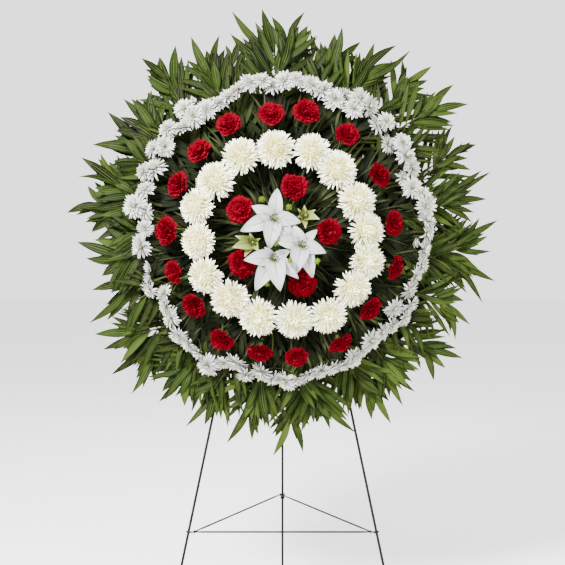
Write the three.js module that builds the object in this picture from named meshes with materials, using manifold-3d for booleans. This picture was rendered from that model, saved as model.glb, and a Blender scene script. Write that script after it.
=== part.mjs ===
// Standing funeral wreath on a folding wire easel.
// Units are millimetres, +Z is up and the face of the wreath looks along -Y.
// The easel is an A-frame of two front legs, with a back leg hinged on a pin at
// the top and two side brace wires that swing on the front brace wire and hook
// round the back leg. The wreath leans on the front legs: a backing board and a
// foam disc carry palm fronds, rings of flowers and a lily stem in the middle.
import * as THREE from 'three';
import { mergeVertices } from 'three/addons/utils/BufferGeometryUtils.js';
import Module from 'manifold-3d';

const wasm = await Module();
wasm.setup();

// ---- driving dimensions (mm) ----
const ORIGIN_Y = 28.545;          // moves the whole object so its box is centred front to back
const ORIGIN_X = 0.35;           // and side to side
const APEX_Z = 1380;             // height of the hinge pin
const APEX_HALF = 6;             // half the spacing of the front-leg eyes
const FOOT_X = 288;              // half the spread of the front feet
const FRONT_FOOT_Y = -241.6;     // front feet, ahead of the pin
const BACK_FOOT_Y = 232.9;       // back foot, behind the pin
const LEG_R = 3;                 // leg wire radius
const BRACE_Z = 260;             // height of the front brace wire
const BRACE_R = 1.9;             // brace wire radius
const PIN_R = 3;                 // hinge pin radius
const GAP = 0.3;                 // gap between pieces that rest on each other
const WREATH_Z = 990;            // height of the wreath's reference point
const BOARD_R = 296, BOARD_T = 4.3;
const FOAM_R = 286, FOAM_BACK = 8, FOAM_FRONT = 58;
const STEM_DEPTH = 20;           // how far each stem is pushed into the foam
const LEAN = Math.atan(-FRONT_FOOT_Y / APEX_Z);

// Carnation heads: u, v, n of the widest ring, facing direction, head radius (mm).
const CARNATIONS = [
  [280.5, 17.9, 138.0, 0.739, -0.07, 0.67, 32.2],
  [246.6, 143.3, 138.0, 0.644, 0.244, 0.725, 32.7],
  [164.6, 249.6, 138.0, 0.229, 0.17, 0.958, 30.8],
  [60.8, 309.1, 138.0, 0.074, 0.175, 0.982, 33.6],
  [-28.5, 304.9, 138.0, -0.038, 0.321, 0.946, 32.8],
  [-137.8, 277.1, 138.0, -0.233, 0.326, 0.916, 32.6],
  [-213.2, 207.3, 138.0, -0.475, 0.331, 0.816, 32.0],
  [-266.5, 118.3, 138.0, -0.675, 0.181, 0.715, 34.3],
  [-293.4, 0.2, 138.0, -0.655, -0.13, 0.745, 35.3],
  [-271.9, -105.5, 138.0, -0.699, -0.382, 0.605, 29.5],
  [-220.6, -190.5, 138.0, -0.5, -0.558, 0.662, 32.8],
  [-150.4, -275.3, 138.0, -0.318, -0.713, 0.625, 31.1],
  [-56.2, -305.6, 138.0, -0.148, -0.927, 0.345, 33.4],
  [35.2, -316.5, 138.0, 0.062, -0.636, 0.769, 28.2],
  [144.0, -283.1, 138.0, 0.405, -0.84, 0.36, 31.1],
  [218.6, -198.4, 138.0, 0.598, -0.623, 0.505, 31.5],
  [281.4, -94.8, 138.0, 0.862, -0.35, 0.368, 30.6],
  [29.2, 109.0, 150.0, 0.079, 0.086, 0.993, 34.5],
  [-107.8, 51.6, 150.0, -0.239, -0.047, 0.97, 34.4],
  [-101.2, -87.5, 150.0, -0.238, -0.368, 0.899, 35.2],
  [48.5, -137.2, 150.0, 0.126, -0.478, 0.869, 35.4],
  [117.4, -6.0, 150.0, 0.41, -0.17, 0.896, 33.9],
];
// Football chrysanthemums: u, v, n, facing direction, head radius (mm).
const MUMS = [
  [-17.6, 209.6, 146.0, -0.01, -0.011, 1.0, 49.1],
  [-106.9, 191.5, 146.0, -0.125, 0.06, 0.99, 47.8],
  [-171.7, 127.1, 146.0, -0.264, 0.033, 0.964, 48.9],
  [-218.3, 60.6, 146.0, -0.468, -0.02, 0.884, 46.2],
  [-213.3, -30.5, 146.0, -0.517, -0.217, 0.828, 47.1],
  [-193.6, -118.1, 146.0, -0.392, -0.389, 0.834, 45.6],
  [-131.5, -175.1, 146.0, -0.218, -0.452, 0.865, 49.2],
  [-58.8, -221.9, 146.0, -0.072, -0.451, 0.89, 47.8],
  [30.6, -226.8, 146.0, 0.052, -0.487, 0.872, 47.8],
  [114.0, -217.0, 146.0, 0.189, -0.496, 0.847, 46.6],
  [176.0, -150.4, 146.0, 0.354, -0.439, 0.826, 48.0],
  [215.1, -80.7, 146.0, 0.488, -0.32, 0.812, 47.0],
  [215.0, -2.8, 146.0, 0.521, -0.151, 0.84, 48.5],
  [191.0, 73.3, 146.0, 0.433, 0.007, 0.901, 49.9],
  [139.3, 155.4, 146.0, 0.182, 0.024, 0.983, 50.2],
  [74.3, 201.9, 146.0, 0.073, 0.009, 0.997, 47.8],
];
// Small white spray blooms: u, v, n, facing direction, bloom radius (mm).
const SPRAY = [
  [-53.0, 400.5, 108.0, -0.055, 0.285, 0.957, 25.8],
  [-86.5, 395.1, 108.0, -0.109, 0.36, 0.927, 25.8],
  [-27.2, 389.7, 100.0, -0.047, 0.669, 0.742, 23.3],
  [3.9, 400.5, 108.0, 0.012, 0.372, 0.928, 28.4],
  [37.5, 405.9, 108.0, 0.07, 0.522, 0.85, 20.7],
  [47.8, 392.5, 108.0, 0.051, 0.204, 0.978, 16.8],
  [-117.8, 378.9, 100.0, -0.231, 0.635, 0.738, 25.9],
  [-140.9, 360.1, 100.0, -0.286, 0.618, 0.732, 25.9],
  [-166.5, 341.3, 100.0, -0.347, 0.594, 0.726, 25.8],
  [-196.7, 322.8, 108.0, -0.238, 0.231, 0.943, 27.0],
  [-229.9, 304.2, 108.0, -0.276, 0.204, 0.939, 29.5],
  [-254.1, 327.9, 100.0, -0.482, 0.5, 0.72, 28.4],
  [-258.5, 277.2, 100.0, -0.618, 0.57, 0.542, 25.7],
  [-296.1, 272.3, 108.0, -0.389, 0.201, 0.899, 24.4],
  [-300.3, 222.2, 108.0, -0.24, 0.006, 0.971, 26.8],
  [-330.9, 219.5, 108.0, -0.61, 0.274, 0.744, 24.3],
  [-328.3, 169.0, 100.0, -0.709, 0.242, 0.663, 31.9],
  [-356.1, 158.5, 100.0, -0.723, 0.199, 0.661, 24.3],
  [-349.0, 112.4, 108.0, -0.439, -0.021, 0.898, 24.1],
  [-375.9, 68.3, 108.0, -0.523, -0.061, 0.85, 31.6],
  [-350.2, 52.9, 108.0, -0.671, -0.037, 0.741, 25.3],
  [-347.8, 10.6, 100.0, -0.796, -0.095, 0.598, 21.5],
  [-359.4, -33.0, 100.0, -0.882, -0.175, 0.439, 31.5],
  [-335.6, -86.5, 100.0, -0.815, -0.315, 0.486, 18.9],
  [-335.0, -114.4, 100.0, -0.794, -0.376, 0.478, 18.8],
  [-334.4, -144.7, 100.0, -0.721, -0.428, 0.544, 23.8],
  [-299.1, -152.2, 100.0, -0.749, -0.484, 0.453, 22.5],
  [-293.5, -187.4, 100.0, -0.663, -0.539, 0.52, 25.0],
  [-280.5, -214.9, 100.0, -0.661, -0.61, 0.436, 26.2],
  [-259.8, -262.2, 100.0, -0.639, -0.722, 0.265, 24.9],
  [-234.6, -282.1, 100.0, -0.579, -0.774, 0.255, 26.1],
  [-209.5, -304.3, 100.0, -0.512, -0.823, 0.247, 24.8],
  [-186.8, -333.9, 100.0, -0.374, -0.79, 0.486, 28.5],
  [-149.7, -329.0, 100.0, -0.371, -0.9, 0.23, 22.3],
  [-117.6, -329.0, 100.0, -0.299, -0.928, 0.221, 28.5],
  [-90.2, -358.5, 100.0, -0.214, -0.951, 0.224, 24.7],
  [-53.1, -351.1, 100.0, -0.109, -0.881, 0.461, 28.4],
  [-23.5, -368.3, 100.0, -0.048, -0.974, 0.22, 22.2],
  [6.2, -373.2, 100.0, 0.023, -0.922, 0.387, 25.9],
  [38.3, -370.7, 100.0, 0.103, -0.97, 0.222, 22.2],
  [67.9, -356.0, 100.0, 0.181, -0.958, 0.22, 24.7],
  [95.2, -348.7, 100.0, 0.25, -0.942, 0.223, 24.7],
  [124.9, -341.3, 100.0, 0.323, -0.919, 0.228, 24.7],
  [152.2, -333.9, 100.0, 0.387, -0.892, 0.234, 22.3],
  [177.1, -316.7, 100.0, 0.414, -0.816, 0.403, 26.0],
  [199.6, -299.4, 100.0, 0.515, -0.822, 0.244, 19.8],
  [222.3, -272.2, 100.0, 0.504, -0.711, 0.49, 26.1],
  [250.0, -252.3, 100.0, 0.651, -0.713, 0.261, 22.4],
  [275.2, -234.9, 100.0, 0.701, -0.658, 0.273, 22.4],
  [280.1, -193.3, 108.0, 0.384, -0.417, 0.824, 24.9],
  [305.4, -217.4, 100.0, 0.749, -0.596, 0.289, 22.4],
  [321.0, -184.9, 100.0, 0.797, -0.525, 0.3, 25.0],
  [319.3, -147.2, 100.0, 0.854, -0.453, 0.257, 25.0],
  [335.1, -111.8, 100.0, 0.892, -0.36, 0.274, 25.1],
  [353.3, -81.4, 100.0, 0.916, -0.277, 0.292, 22.6],
  [359.2, -43.2, 100.0, 0.934, -0.181, 0.308, 27.7],
  [367.7, -2.2, 100.0, 0.953, -0.072, 0.295, 27.8],
  [333.4, -26.6, 108.0, 0.679, -0.189, 0.709, 15.1],
  [368.6, 33.8, 100.0, 0.939, 0.011, 0.344, 25.3],
  [366.9, 70.0, 100.0, 0.829, 0.046, 0.558, 29.2],
  [359.9, 98.5, 100.0, 0.767, 0.084, 0.636, 25.4],
  [331.4, 117.6, 108.0, 0.643, 0.083, 0.761, 26.7],
  [309.9, 142.8, 100.0, 0.732, 0.207, 0.649, 20.4],
  [333.4, 169.0, 100.0, 0.758, 0.265, 0.596, 26.8],
  [317.7, 198.5, 108.0, 0.52, 0.167, 0.838, 31.9],
  [308.2, 235.3, 108.0, 0.367, 0.108, 0.924, 24.3],
  [273.1, 232.2, 100.0, 0.618, 0.387, 0.685, 25.6],
  [245.0, 282.9, 108.0, 0.406, 0.304, 0.861, 26.9],
  [268.2, 290.9, 108.0, 0.415, 0.287, 0.863, 24.4],
  [228.4, 333.3, 100.0, 0.457, 0.522, 0.72, 27.1],
  [202.3, 352.2, 108.0, 0.342, 0.432, 0.834, 28.3],
  [183.9, 325.5, 108.0, 0.235, 0.234, 0.943, 25.7],
  [164.2, 368.1, 100.0, 0.333, 0.594, 0.732, 20.7],
  [135.3, 352.2, 108.0, 0.173, 0.264, 0.949, 29.6],
  [102.2, 378.9, 100.0, 0.218, 0.639, 0.737, 28.5],
  [76.2, 389.8, 108.0, 0.138, 0.514, 0.846, 28.4],
];
// Tips of the palm leaflets round the rim: u, v (mm).
const FROND_TIPS = [
  [-55.4, 629.1],
  [60.7, 617.7],
  [160.2, 575.2],
  [210.9, 538.5],
  [245.7, 530.1],
  [304.6, 518.8],
  [341.8, 504.8],
  [400.0, 468.4],
  [451.8, 407.2],
  [487.5, 351.9],
  [511.0, 250.6],
  [545.4, 174.8],
  [532.5, 102.3],
  [562.1, 49.0],
  [534.6, 6.7],
  [538.4, -35.5],
  [546.2, -113.9],
  [513.4, -171.0],
  [475.7, -227.6],
  [460.5, -309.3],
  [416.5, -334.7],
  [385.1, -367.5],
  [336.2, -395.2],
  [302.6, -430.3],
  [273.9, -475.2],
  [226.1, -465.3],
  [185.3, -497.6],
  [119.8, -490.1],
  [51.5, -547.0],
  [-23.9, -554.4],
  [-76.8, -514.9],
  [-139.7, -522.3],
  [-195.6, -477.7],
  [-243.5, -482.7],
  [-310.3, -420.3],
  [-381.8, -400.2],
  [-436.3, -352.4],
  [-456.0, -289.0],
  [-477.5, -250.7],
  [-496.4, -219.9],
  [-491.3, -134.7],
  [-504.1, -56.5],
  [-531.4, -11.8],
  [-562.8, 67.6],
  [-531.7, 155.9],
  [-525.5, 209.9],
  [-503.1, 253.3],
  [-466.0, 343.6],
  [-421.7, 374.0],
  [-376.3, 485.2],
  [-328.2, 490.8],
  [-285.8, 521.6],
  [-243.1, 538.5],
  [-168.0, 547.0],
  [-136.3, 617.7],
];

// ---- helpers ----
const V = (x, y, z) => new THREE.Vector3(x, y, z);
const Y_AXIS = V(0, 1, 0);
const matrix = (p, q = new THREE.Quaternion()) => new THREE.Matrix4().compose(p, q, V(1, 1, 1));
const turn = (from, to) => new THREE.Quaternion().setFromUnitVectors(from, to.clone().normalize());

function solid(geometry) {
  const g = geometry.clone();
  g.deleteAttribute('normal');
  g.deleteAttribute('uv');
  const m = mergeVertices(g, 1e-4);
  const index = m.index ? m.index.array : [...Array(m.attributes.position.count).keys()];
  const tris = [];
  for (let i = 0; i < index.length; i += 3) {
    const [a, b, c] = [index[i], index[i + 1], index[i + 2]];
    if (a !== b && b !== c && a !== c) tris.push(a, b, c);
  }
  return new wasm.Manifold(new wasm.Mesh({
    numProp: 3,
    vertProperties: new Float32Array(m.attributes.position.array),
    triVerts: new Uint32Array(tris),
  }));
}

function geometryOf(manifold) {
  const m = manifold.getMesh();
  const g = new THREE.BufferGeometry();
  g.setAttribute('position', new THREE.BufferAttribute(new Float32Array(m.vertProperties), 3));
  g.setIndex(new THREE.BufferAttribute(new Uint32Array(m.triVerts), 1));
  g.computeVertexNormals();
  return g;
}

// straight round rod between two points
function rod(a, b, r, sides = 8) {
  const d = b.clone().sub(a);
  const g = new THREE.CylinderGeometry(r, r, d.length(), sides);
  return g.applyMatrix4(matrix(a.clone().add(b).multiplyScalar(0.5), turn(Y_AXIS, d)));
}

// bent round wire along a smooth curve
function wire(points, r, steps, sides = 8) {
  const s = new THREE.Shape();
  for (let i = 0; i < sides; i++) {
    const t = (i + 0.5) / sides * 2 * Math.PI;
    if (i) s.lineTo(r * Math.cos(t), r * Math.sin(t)); else s.moveTo(r * Math.cos(t), r * Math.sin(t));
  }
  s.closePath();
  return new THREE.ExtrudeGeometry(s, {
    steps, bevelEnabled: false, curveSegments: 1,
    extrudePath: new THREE.CatmullRomCurve3(points, false, 'centripetal'),
  });
}

// closed ring of round section about an axis
function ring(centre, axis, mid, section, around = 16, sides = 6) {
  const p = [];
  for (let i = 0; i <= sides; i++) {
    const t = i / sides * 2 * Math.PI;
    p.push(new THREE.Vector2(mid + section * Math.cos(t), section * Math.sin(t)));
  }
  p[sides] = p[0].clone();
  return new THREE.LatheGeometry(p, around).applyMatrix4(matrix(centre, turn(Y_AXIS, axis)));
}

const lathe = (profile, around) => new THREE.LatheGeometry(profile.map(([r, y]) => new THREE.Vector2(r, y)), around);

function union(...geometries) {
  let s = solid(geometries[0]);
  for (const g of geometries.slice(1)) s = s.add(solid(g));
  return s;
}

const mat = (color, roughness, metalness = 0) => () => new THREE.MeshStandardMaterial({ color, roughness, metalness });
const EASEL = mat(0x1c2a24, 0.45, 0.4);
const STEEL = mat(0x8c9290, 0.35, 0.9);
const BOARD = mat(0x3c4a34, 0.7);
const FOAM = mat(0x2f4a2c, 0.95);
const PALM = mat(0x47692a, 0.5);
const GREENS = mat(0x24401c, 0.6);
const RED = mat(0xb80d26, 0.7);
const CREAM = mat(0xf3f0da, 0.7);
const WHITE = mat(0xf0f1f4, 0.65);
const LILY = mat(0xeff1f2, 0.45);

const object = new THREE.Group();
const easel = new THREE.Group();
const wreath = new THREE.Group();
object.add(easel, wreath);
object.position.set(ORIGIN_X, ORIGIN_Y, 0);

function add(parent, name, geometry, material, position, quaternion) {
  const mesh = new THREE.Mesh(geometry, material());
  mesh.name = name;
  if (position) mesh.position.copy(position);
  if (quaternion) mesh.quaternion.copy(quaternion);
  parent.add(mesh);
  return mesh;
}

// ---- wreath plane: local x right, y up along the lean, z out of the face ----
wreath.position.set(0, FRONT_FOOT_Y * (1 - WREATH_Z / APEX_Z), WREATH_Z);
wreath.rotation.x = Math.PI / 2 - LEAN;
wreath.updateMatrix();
const toEasel = (u, v, n) => V(u, v, n).applyMatrix4(wreath.matrix);

// ---- easel ----
const ground = new THREE.BoxGeometry(1400, 1400, 60).translate(0, 0, -30);
const legEnd = (top, foot) => foot.clone().sub(top).normalize().multiplyScalar(12).add(foot);
const apex = V(0, 0, APEX_Z);
const EYE_MID = PIN_R + 0.1 + 2.3, EYE_SECTION = 2.2;

function leg(x, foot, extras) {
  const top = V(x, 0, APEX_Z);
  const d = foot.clone().sub(top).normalize();
  const start = top.clone().addScaledVector(d, EYE_MID);
  let s = union(rod(start, legEnd(top, foot), LEG_R), ring(top, V(1, 0, 0), EYE_MID + 0.35, EYE_SECTION), ...extras);
  return geometryOf(s.subtract(solid(ground)));
}

// wreath hooks welded to the front legs: forward under the board's rim, then up in front of it
function hook(side) {
  const u = side * 141;
  const v = -Math.sqrt(BOARD_R * BOARD_R - 141 * 141) - 3.1;
  const pts = [[u, v, -0.5], [u, v, 4], [u, v + 0.2, 8.3], [u, v + 2.2, 10.1], [u, v + 9, 10.2]];
  return wire(pts.map((p) => toEasel(...p)), 1.4, 10, 6);
}

add(easel, 'front_leg_left', leg(-APEX_HALF, V(-FOOT_X, FRONT_FOOT_Y, 0), [hook(-1)]), EASEL);
add(easel, 'front_leg_right', leg(APEX_HALF, V(FOOT_X, FRONT_FOOT_Y, 0), [hook(1)]), EASEL);

const backFoot = V(0, BACK_FOOT_Y, 0);
const backDir = backFoot.clone().sub(apex).normalize();
const onBackLeg = (z) => apex.clone().addScaledVector(backDir, (APEX_Z - z) / -backDir.z);
const collarAt = onBackLeg(252.4);
const collar = rod(collarAt.clone().addScaledVector(backDir, -2), collarAt.clone().addScaledVector(backDir, 2), 6.8, 12);
add(easel, 'back_leg', leg(0, backFoot, [collar]), EASEL);

const pin = union(
  rod(V(-13, 0, 0), V(13, 0, 0), PIN_R, 16),
  rod(V(-14.5, 0, 0), V(-12, 0, 0), 5.5, 16),
  rod(V(12, 0, 0), V(14.5, 0, 0), 5.5, 16),
);
add(easel, 'hinge_pin', geometryOf(pin), STEEL, apex);

const legX = (z) => APEX_HALF + (FOOT_X - APEX_HALF) * (1 - z / APEX_Z);
const braceY = FRONT_FOOT_Y * (1 - BRACE_Z / APEX_Z);
const legDir = V(FOOT_X - APEX_HALF, FRONT_FOOT_Y, -APEX_Z).normalize();
const braceX = legX(BRACE_Z);
const LOOP_MID = LEG_R + 0.45 + BRACE_R;
const frontBrace = union(
  rod(V(-braceX + LOOP_MID, 0, 0), V(braceX - LOOP_MID, 0, 0), BRACE_R, 10),
  ring(V(-braceX, 0, 0), V(-legDir.x, legDir.y, legDir.z), LOOP_MID, BRACE_R, 14, 6),
  ring(V(braceX, 0, 0), legDir, LOOP_MID, BRACE_R, 14, 6),
);
add(easel, 'front_brace_wire', geometryOf(frontBrace), EASEL, V(0, braceY, BRACE_Z));

// side brace wires: an eye round the front brace wire, a hook behind the back leg
function sideBrace(side, z) {
  const eye = V(side * 221, braceY, BRACE_Z);
  const eyeMid = BRACE_R + 0.2 + 1.45;
  const y = onBackLeg(z).y;
  const x = side * 6.4;
  const pts = [
    V(side * 220.4, braceY + eyeMid, BRACE_Z),
    V(side * 150, braceY + eyeMid + (y - 4 - braceY - eyeMid) * 0.328, BRACE_Z + (z - BRACE_Z) * 0.33),
    V(side * 60, braceY + eyeMid + (y - 4 - braceY - eyeMid) * 0.75, BRACE_Z + (z - BRACE_Z) * 0.75),
    V(x + side * 2, y - 6, z), V(x, y + 0.5, z), V(x * 0.62, y + 5.2, z), V(0, y + 6.6, z), V(-x * 0.62, y + 5.2, z), V(-x, y + 0.8, z),
  ];
  const s = union(wire(pts, 1.8, 48, 6), ring(eye, V(1, 0, 0), eyeMid, 1.3, 12, 6));
  return geometryOf(s);
}
add(easel, 'side_brace_left', sideBrace(-1, 262.4), EASEL);
add(easel, 'side_brace_right', sideBrace(1, 258.0), EASEL);

// ---- backing board and foam ----
const disc = (r, n0, n1, sides) => new THREE.CylinderGeometry(r, r, n1 - n0, sides).rotateX(Math.PI / 2).translate(0, 0, (n0 + n1) / 2);
add(wreath, 'backing_board', disc(BOARD_R, LEG_R + GAP, LEG_R + GAP + BOARD_T, 48), BOARD);

let foam = solid(disc(FOAM_R, FOAM_BACK, FOAM_FRONT, 48));
const coverShape = new THREE.Shape();
const TEETH = 34;
for (let i = 0; i < 2 * TEETH; i++) {
  const a = i / (2 * TEETH) * 2 * Math.PI, r = i % 2 ? 236 : 281;
  if (i) coverShape.lineTo(r * Math.cos(a), r * Math.sin(a)); else coverShape.moveTo(r * Math.cos(a), r * Math.sin(a));
}
coverShape.closePath();
const coverHole = new THREE.Path();
for (let i = 0; i < 16; i++) {
  const a = i / 16 * 2 * Math.PI, r = i % 2 ? 44 : 66;
  if (i) coverHole.lineTo(r * Math.cos(a), r * Math.sin(a)); else coverHole.moveTo(r * Math.cos(a), r * Math.sin(a));
}
coverHole.closePath();
coverShape.holes.push(coverHole);
let cover = solid(new THREE.ExtrudeGeometry(coverShape, { depth: 3, bevelEnabled: false, steps: 1 }).translate(0, 0, FOAM_FRONT + GAP));

// cuts the hole that a stem running from a to b fits, out of the foam and the cover leaves
function bore(a, b, r) {
  const d = b.clone().sub(a).normalize();
  const cutter = solid(rod(a.clone().addScaledVector(d, -GAP), b, (r + GAP) * 1.155, 6));
  foam = foam.subtract(cutter);
  cover = cover.subtract(cutter);
}

// ---- flowers on single stems ----
// head profile as [radius, height above the widest ring], both over the head radius
const CARNATION_HEAD = [[0.12, -1.12], [0.27, -0.55], [0.74, -0.28], [1, 0], [0.84, 0.3], [0.45, 0.5], [0, 0.56]];
const MUM_HEAD = [[0.08, -0.62], [0.5, -0.5], [0.9, -0.2], [1, 0.02], [0.86, 0.33], [0.5, 0.55], [0, 0.63]];

function flower(name, row, r, profile, entryR, stemR, material, around) {
  const [u, v, n, a, b, c] = row;
  const at = V(u, v, n), axis = V(a, b, c).normalize();
  const q = turn(Y_AXIS, axis);
  const back = profile[0][1] * r;
  const neck = at.clone().addScaledVector(axis, back * 0.9);
  const far = Math.hypot(u, v);
  const entry = V(u / far * entryR, v / far * entryR, FOAM_FRONT);
  const down = entry.clone().sub(neck).normalize();
  const end = entry.clone().addScaledVector(down, STEM_DEPTH / -down.z);
  bore(end, neck, stemR);
  const head = lathe([[0, back], ...profile.map(([x, y]) => [x * r, y * r])], around);
  const toLocal = matrix(at, q).invert();
  const stem = rod(end, neck.clone().addScaledVector(down, -2), stemR, 6).applyMatrix4(toLocal);
  add(wreath, name, geometryOf(union(head, stem)), material, at, q);
}

const two = (i) => String(i).padStart(2, '0');
CARNATIONS.forEach((row, i) => {
  const inner = i >= 17;
  flower(`carnation_${two(i + 1)}`, row, row[6], CARNATION_HEAD, Math.hypot(row[0], row[1]) - (inner ? 6 : 38), 2.4, RED, 8);
});

const centres = MUMS.map((m) => V(m[0], m[1], m[2]));
MUMS.forEach((row, i) => {
  const k = MUMS.length;
  const near = Math.min(centres[i].distanceTo(centres[(i + 1) % k]), centres[i].distanceTo(centres[(i + k - 1) % k]));
  const r = Math.min(row[6], near / 2 - 0.6);
  flower(`football_mum_${two(i + 1)}`, row, r, MUM_HEAD, Math.hypot(row[0], row[1]) - 4, 3, CREAM, 9);
});

// ---- lily stem: one stem with three open blooms, two half-open ones and buds ----
function bloom(u, v, throat, tips) {
  // star-shaped funnel whose six tips lie at the given points
  const g = lathe([[0, 0], [5, 1], [9, 22], [30, 44], [75, 58], [72, 61], [26, 50], [0, 34]], 12);
  const p = g.attributes.position;
  const angles = tips.map(([x, y]) => [Math.atan2(y - v, x - u), Math.hypot(x - u, y - v)]);
  for (let i = 0; i < p.count; i++) {
    const x = p.getX(i), y = p.getY(i), z = p.getZ(i);
    const rad = Math.hypot(x, z);
    if (rad < 1e-6) { p.setXYZ(i, 0, 0, y); continue; }
    const seg = Math.round(Math.atan2(x, z) / (Math.PI / 6) + 12) % 12;
    const t0 = angles[Math.floor(seg / 2) % 6], t1 = angles[(Math.floor(seg / 2) + 1) % 6];
    let ang = t0[0], len = t0[1];
    if (seg % 2) {
      let d = t1[0] - t0[0];
      while (d > Math.PI) d -= 2 * Math.PI;
      while (d < -Math.PI) d += 2 * Math.PI;
      ang = t0[0] + d / 2; len = 0.42 * (t0[1] + t1[1]) / 2;
    }
    const k = rad > 20 ? rad / 75 * len : rad;
    p.setXYZ(i, k * Math.cos(ang), k * Math.sin(ang), y);
  }
  return g.translate(u, v, throat);
}
const sorted = (c, tips) => tips.map((t) => [t, Math.atan2(t[1] - c[1], t[0] - c[0])]).sort((a, b) => a[1] - b[1]).map((t) => t[0]);
const LILY_BASE = V(5, -20, FOAM_FRONT);
const FORK = V(4, -22, 96);
const blooms = [
  [[-21, 26], 136, [[-8.6, 101.4], [-72.4, 61.2], [-101.4, -6.1], [-30.4, -50.7], [30.5, -35.8], [45.3, 16.3]]],
  [[48, -41], 138, [[28.1, 8.8], [84.3, -3.6], [105.9, -60.5], [74, -119.5], [30.3, -117], [-20.7, -28.4]]],
  [[-21, -76], 140, [[-42.6, -48.2], [-93.6, -77.8], [-66.5, -151.2], [-6, -158.5], [37.6, -124.4], [18.3, -55.6]]],
];
let lily = union(rod(V(5, -20, FOAM_FRONT - STEM_DEPTH), FORK, 4, 8));
for (const [c, n, tips] of blooms) {
  const g = solid(bloom(c[0], c[1], n, sorted(c, tips)));
  lily = lily.add(g).add(solid(rod(FORK, V(c[0], c[1], n + 6), 3, 6)));
}
const halfOpen = lathe([[0, 0], [4, 1], [13, 20], [26, 44], [20, 52], [0, 34]], 8);
for (const [u, v, n] of [[-79.5, -32, 146], [55, 33, 146]]) {
  const d = V(u, v, 60).normalize();
  lily = lily.add(solid(halfOpen.clone().applyMatrix4(matrix(V(u * 0.82, v * 0.82, n - 12), turn(Y_AXIS, V(u * 0.25, v * 0.25, 60))))));
  lily = lily.add(solid(rod(FORK, V(u * 0.82, v * 0.82, n - 8), 2.4, 6)));
}
for (const [u, v] of [[-50.5, 70.2], [16, 50.1], [84.1, -84.1], [-37.6, -138.1]]) {
  const at = V(u, v, 186);
  const budAxis = V(u - FORK.x, v - FORK.y, 186 - FORK.z).normalize();
  lily = lily.add(solid(lathe([[0, -16], [6, -9], [8.5, 2], [5, 12], [0, 17]], 6).applyMatrix4(matrix(at, turn(Y_AXIS, budAxis)))));
  lily = lily.add(solid(rod(FORK, at.clone().addScaledVector(budAxis, -8), 2, 6)));
}
bore(V(5, -20, FOAM_FRONT - STEM_DEPTH), FORK, 4);

// ---- white spray blooms: six garland arcs, each on three stems into the foam's rim ----
const ARCS = 6;
const sprayStems = [];
for (let k = 0; k < ARCS; k++) {
  const a0 = (k / ARCS) * 2 * Math.PI, a1 = ((k + 1) / ARCS) * 2 * Math.PI;
  const mean = (a) => {
    // smooth local mean radius and height of the blooms near this direction
    let w = 0, r = 0, n = 0;
    for (const s of SPRAY) {
      let d = Math.atan2(s[1], s[0]) - a;
      while (d > Math.PI) d -= 2 * Math.PI;
      while (d < -Math.PI) d += 2 * Math.PI;
      const e = Math.exp(-d * d / 0.012);
      w += e; r += e * Math.hypot(s[0], s[1]); n += e * s[2];
    }
    return [r / w, n / w];
  };
  const pts = [];
  for (let j = 0; j <= 8; j++) {
    const a = a0 + 0.05 + (a1 - a0 - 0.1) * j / 8;
    const [r, n] = mean(a);
    pts.push(V(r * Math.cos(a), r * Math.sin(a), n - 10));
  }
  let arc = solid(wire(pts, 19, 10, 6));
  for (const f of [0.18, 0.5, 0.82]) {
    const a = a0 + (a1 - a0) * f;
    const [r, n] = mean(a);
    const from = V(r * Math.cos(a), r * Math.sin(a), n - 14);
    const end = V((FOAM_R - STEM_DEPTH) * Math.cos(a), (FOAM_R - STEM_DEPTH) * Math.sin(a), 40);
    bore(end, from, 2);
    arc = arc.add(solid(rod(end, from, 2, 6)));
    sprayStems.push([end, from]);
  }
  add(wreath, `spray_mums_${k + 1}`, geometryOf(arc), WHITE);
}

// ---- palm fronds: five sectors of leaflets round the foam's rim ----
const SECTORS = 5;
const polar = FROND_TIPS.map(([u, v]) => [(Math.atan2(v, u) + 2 * Math.PI) % (2 * Math.PI), Math.hypot(u, v)]).sort((a, b) => a[0] - b[0]);
for (let k = 0; k < SECTORS; k++) {
  const a0 = (k / SECTORS) * 2 * Math.PI + 0.012, a1 = ((k + 1) / SECTORS) * 2 * Math.PI - 0.012;
  const inside = polar.filter(([a]) => a > a0 + 0.02 && a < a1 - 0.02);
  const s = new THREE.Shape();
  const steps = 8;
  const inR = FOAM_R + GAP + 1;
  for (let j = 0; j <= steps; j++) {
    const a = a0 + (a1 - a0) * j / steps;
    if (j) s.lineTo(inR * Math.cos(a), inR * Math.sin(a)); else s.moveTo(inR * Math.cos(a), inR * Math.sin(a));
  }
  for (let j = inside.length - 1; j >= 0; j--) {
    const [a, r] = inside[j];
    const next = j ? inside[j - 1][0] : a0;
    const before = j < inside.length - 1 ? (a + inside[j + 1][0]) / 2 : a1;
    if (j === inside.length - 1) s.lineTo(430 * Math.cos(before), 430 * Math.sin(before));
    s.lineTo(r * Math.cos(a), r * Math.sin(a));
    const mid = j ? (a + next) / 2 : a0;
    const rr = j ? 0.8 * Math.min(r, inside[j - 1][1]) : 430;
    s.lineTo(rr * Math.cos(mid), rr * Math.sin(mid));
  }
  s.closePath();
  const leaf = new THREE.ExtrudeGeometry(s, { depth: 4, bevelEnabled: false, steps: 1 }).translate(0, 0, 18);
  add(wreath, `palm_fronds_${k + 1}`, leaf, PALM);
}

add(wreath, 'foam_disc', geometryOf(foam), FOAM);
// a leaf tip that a stem cuts loose is dropped
const largest = cover.decompose().reduce((a, b) => (a.volume() > b.volume() ? a : b));
add(wreath, 'cover_greens', geometryOf(largest), GREENS);
add(wreath, 'lily_stem', geometryOf(lily), LILY);

export default object;
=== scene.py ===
# Looks of the standing funeral wreath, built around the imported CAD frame.
import math

import bpy
import numpy as np
from mathutils import Matrix, Vector


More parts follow.
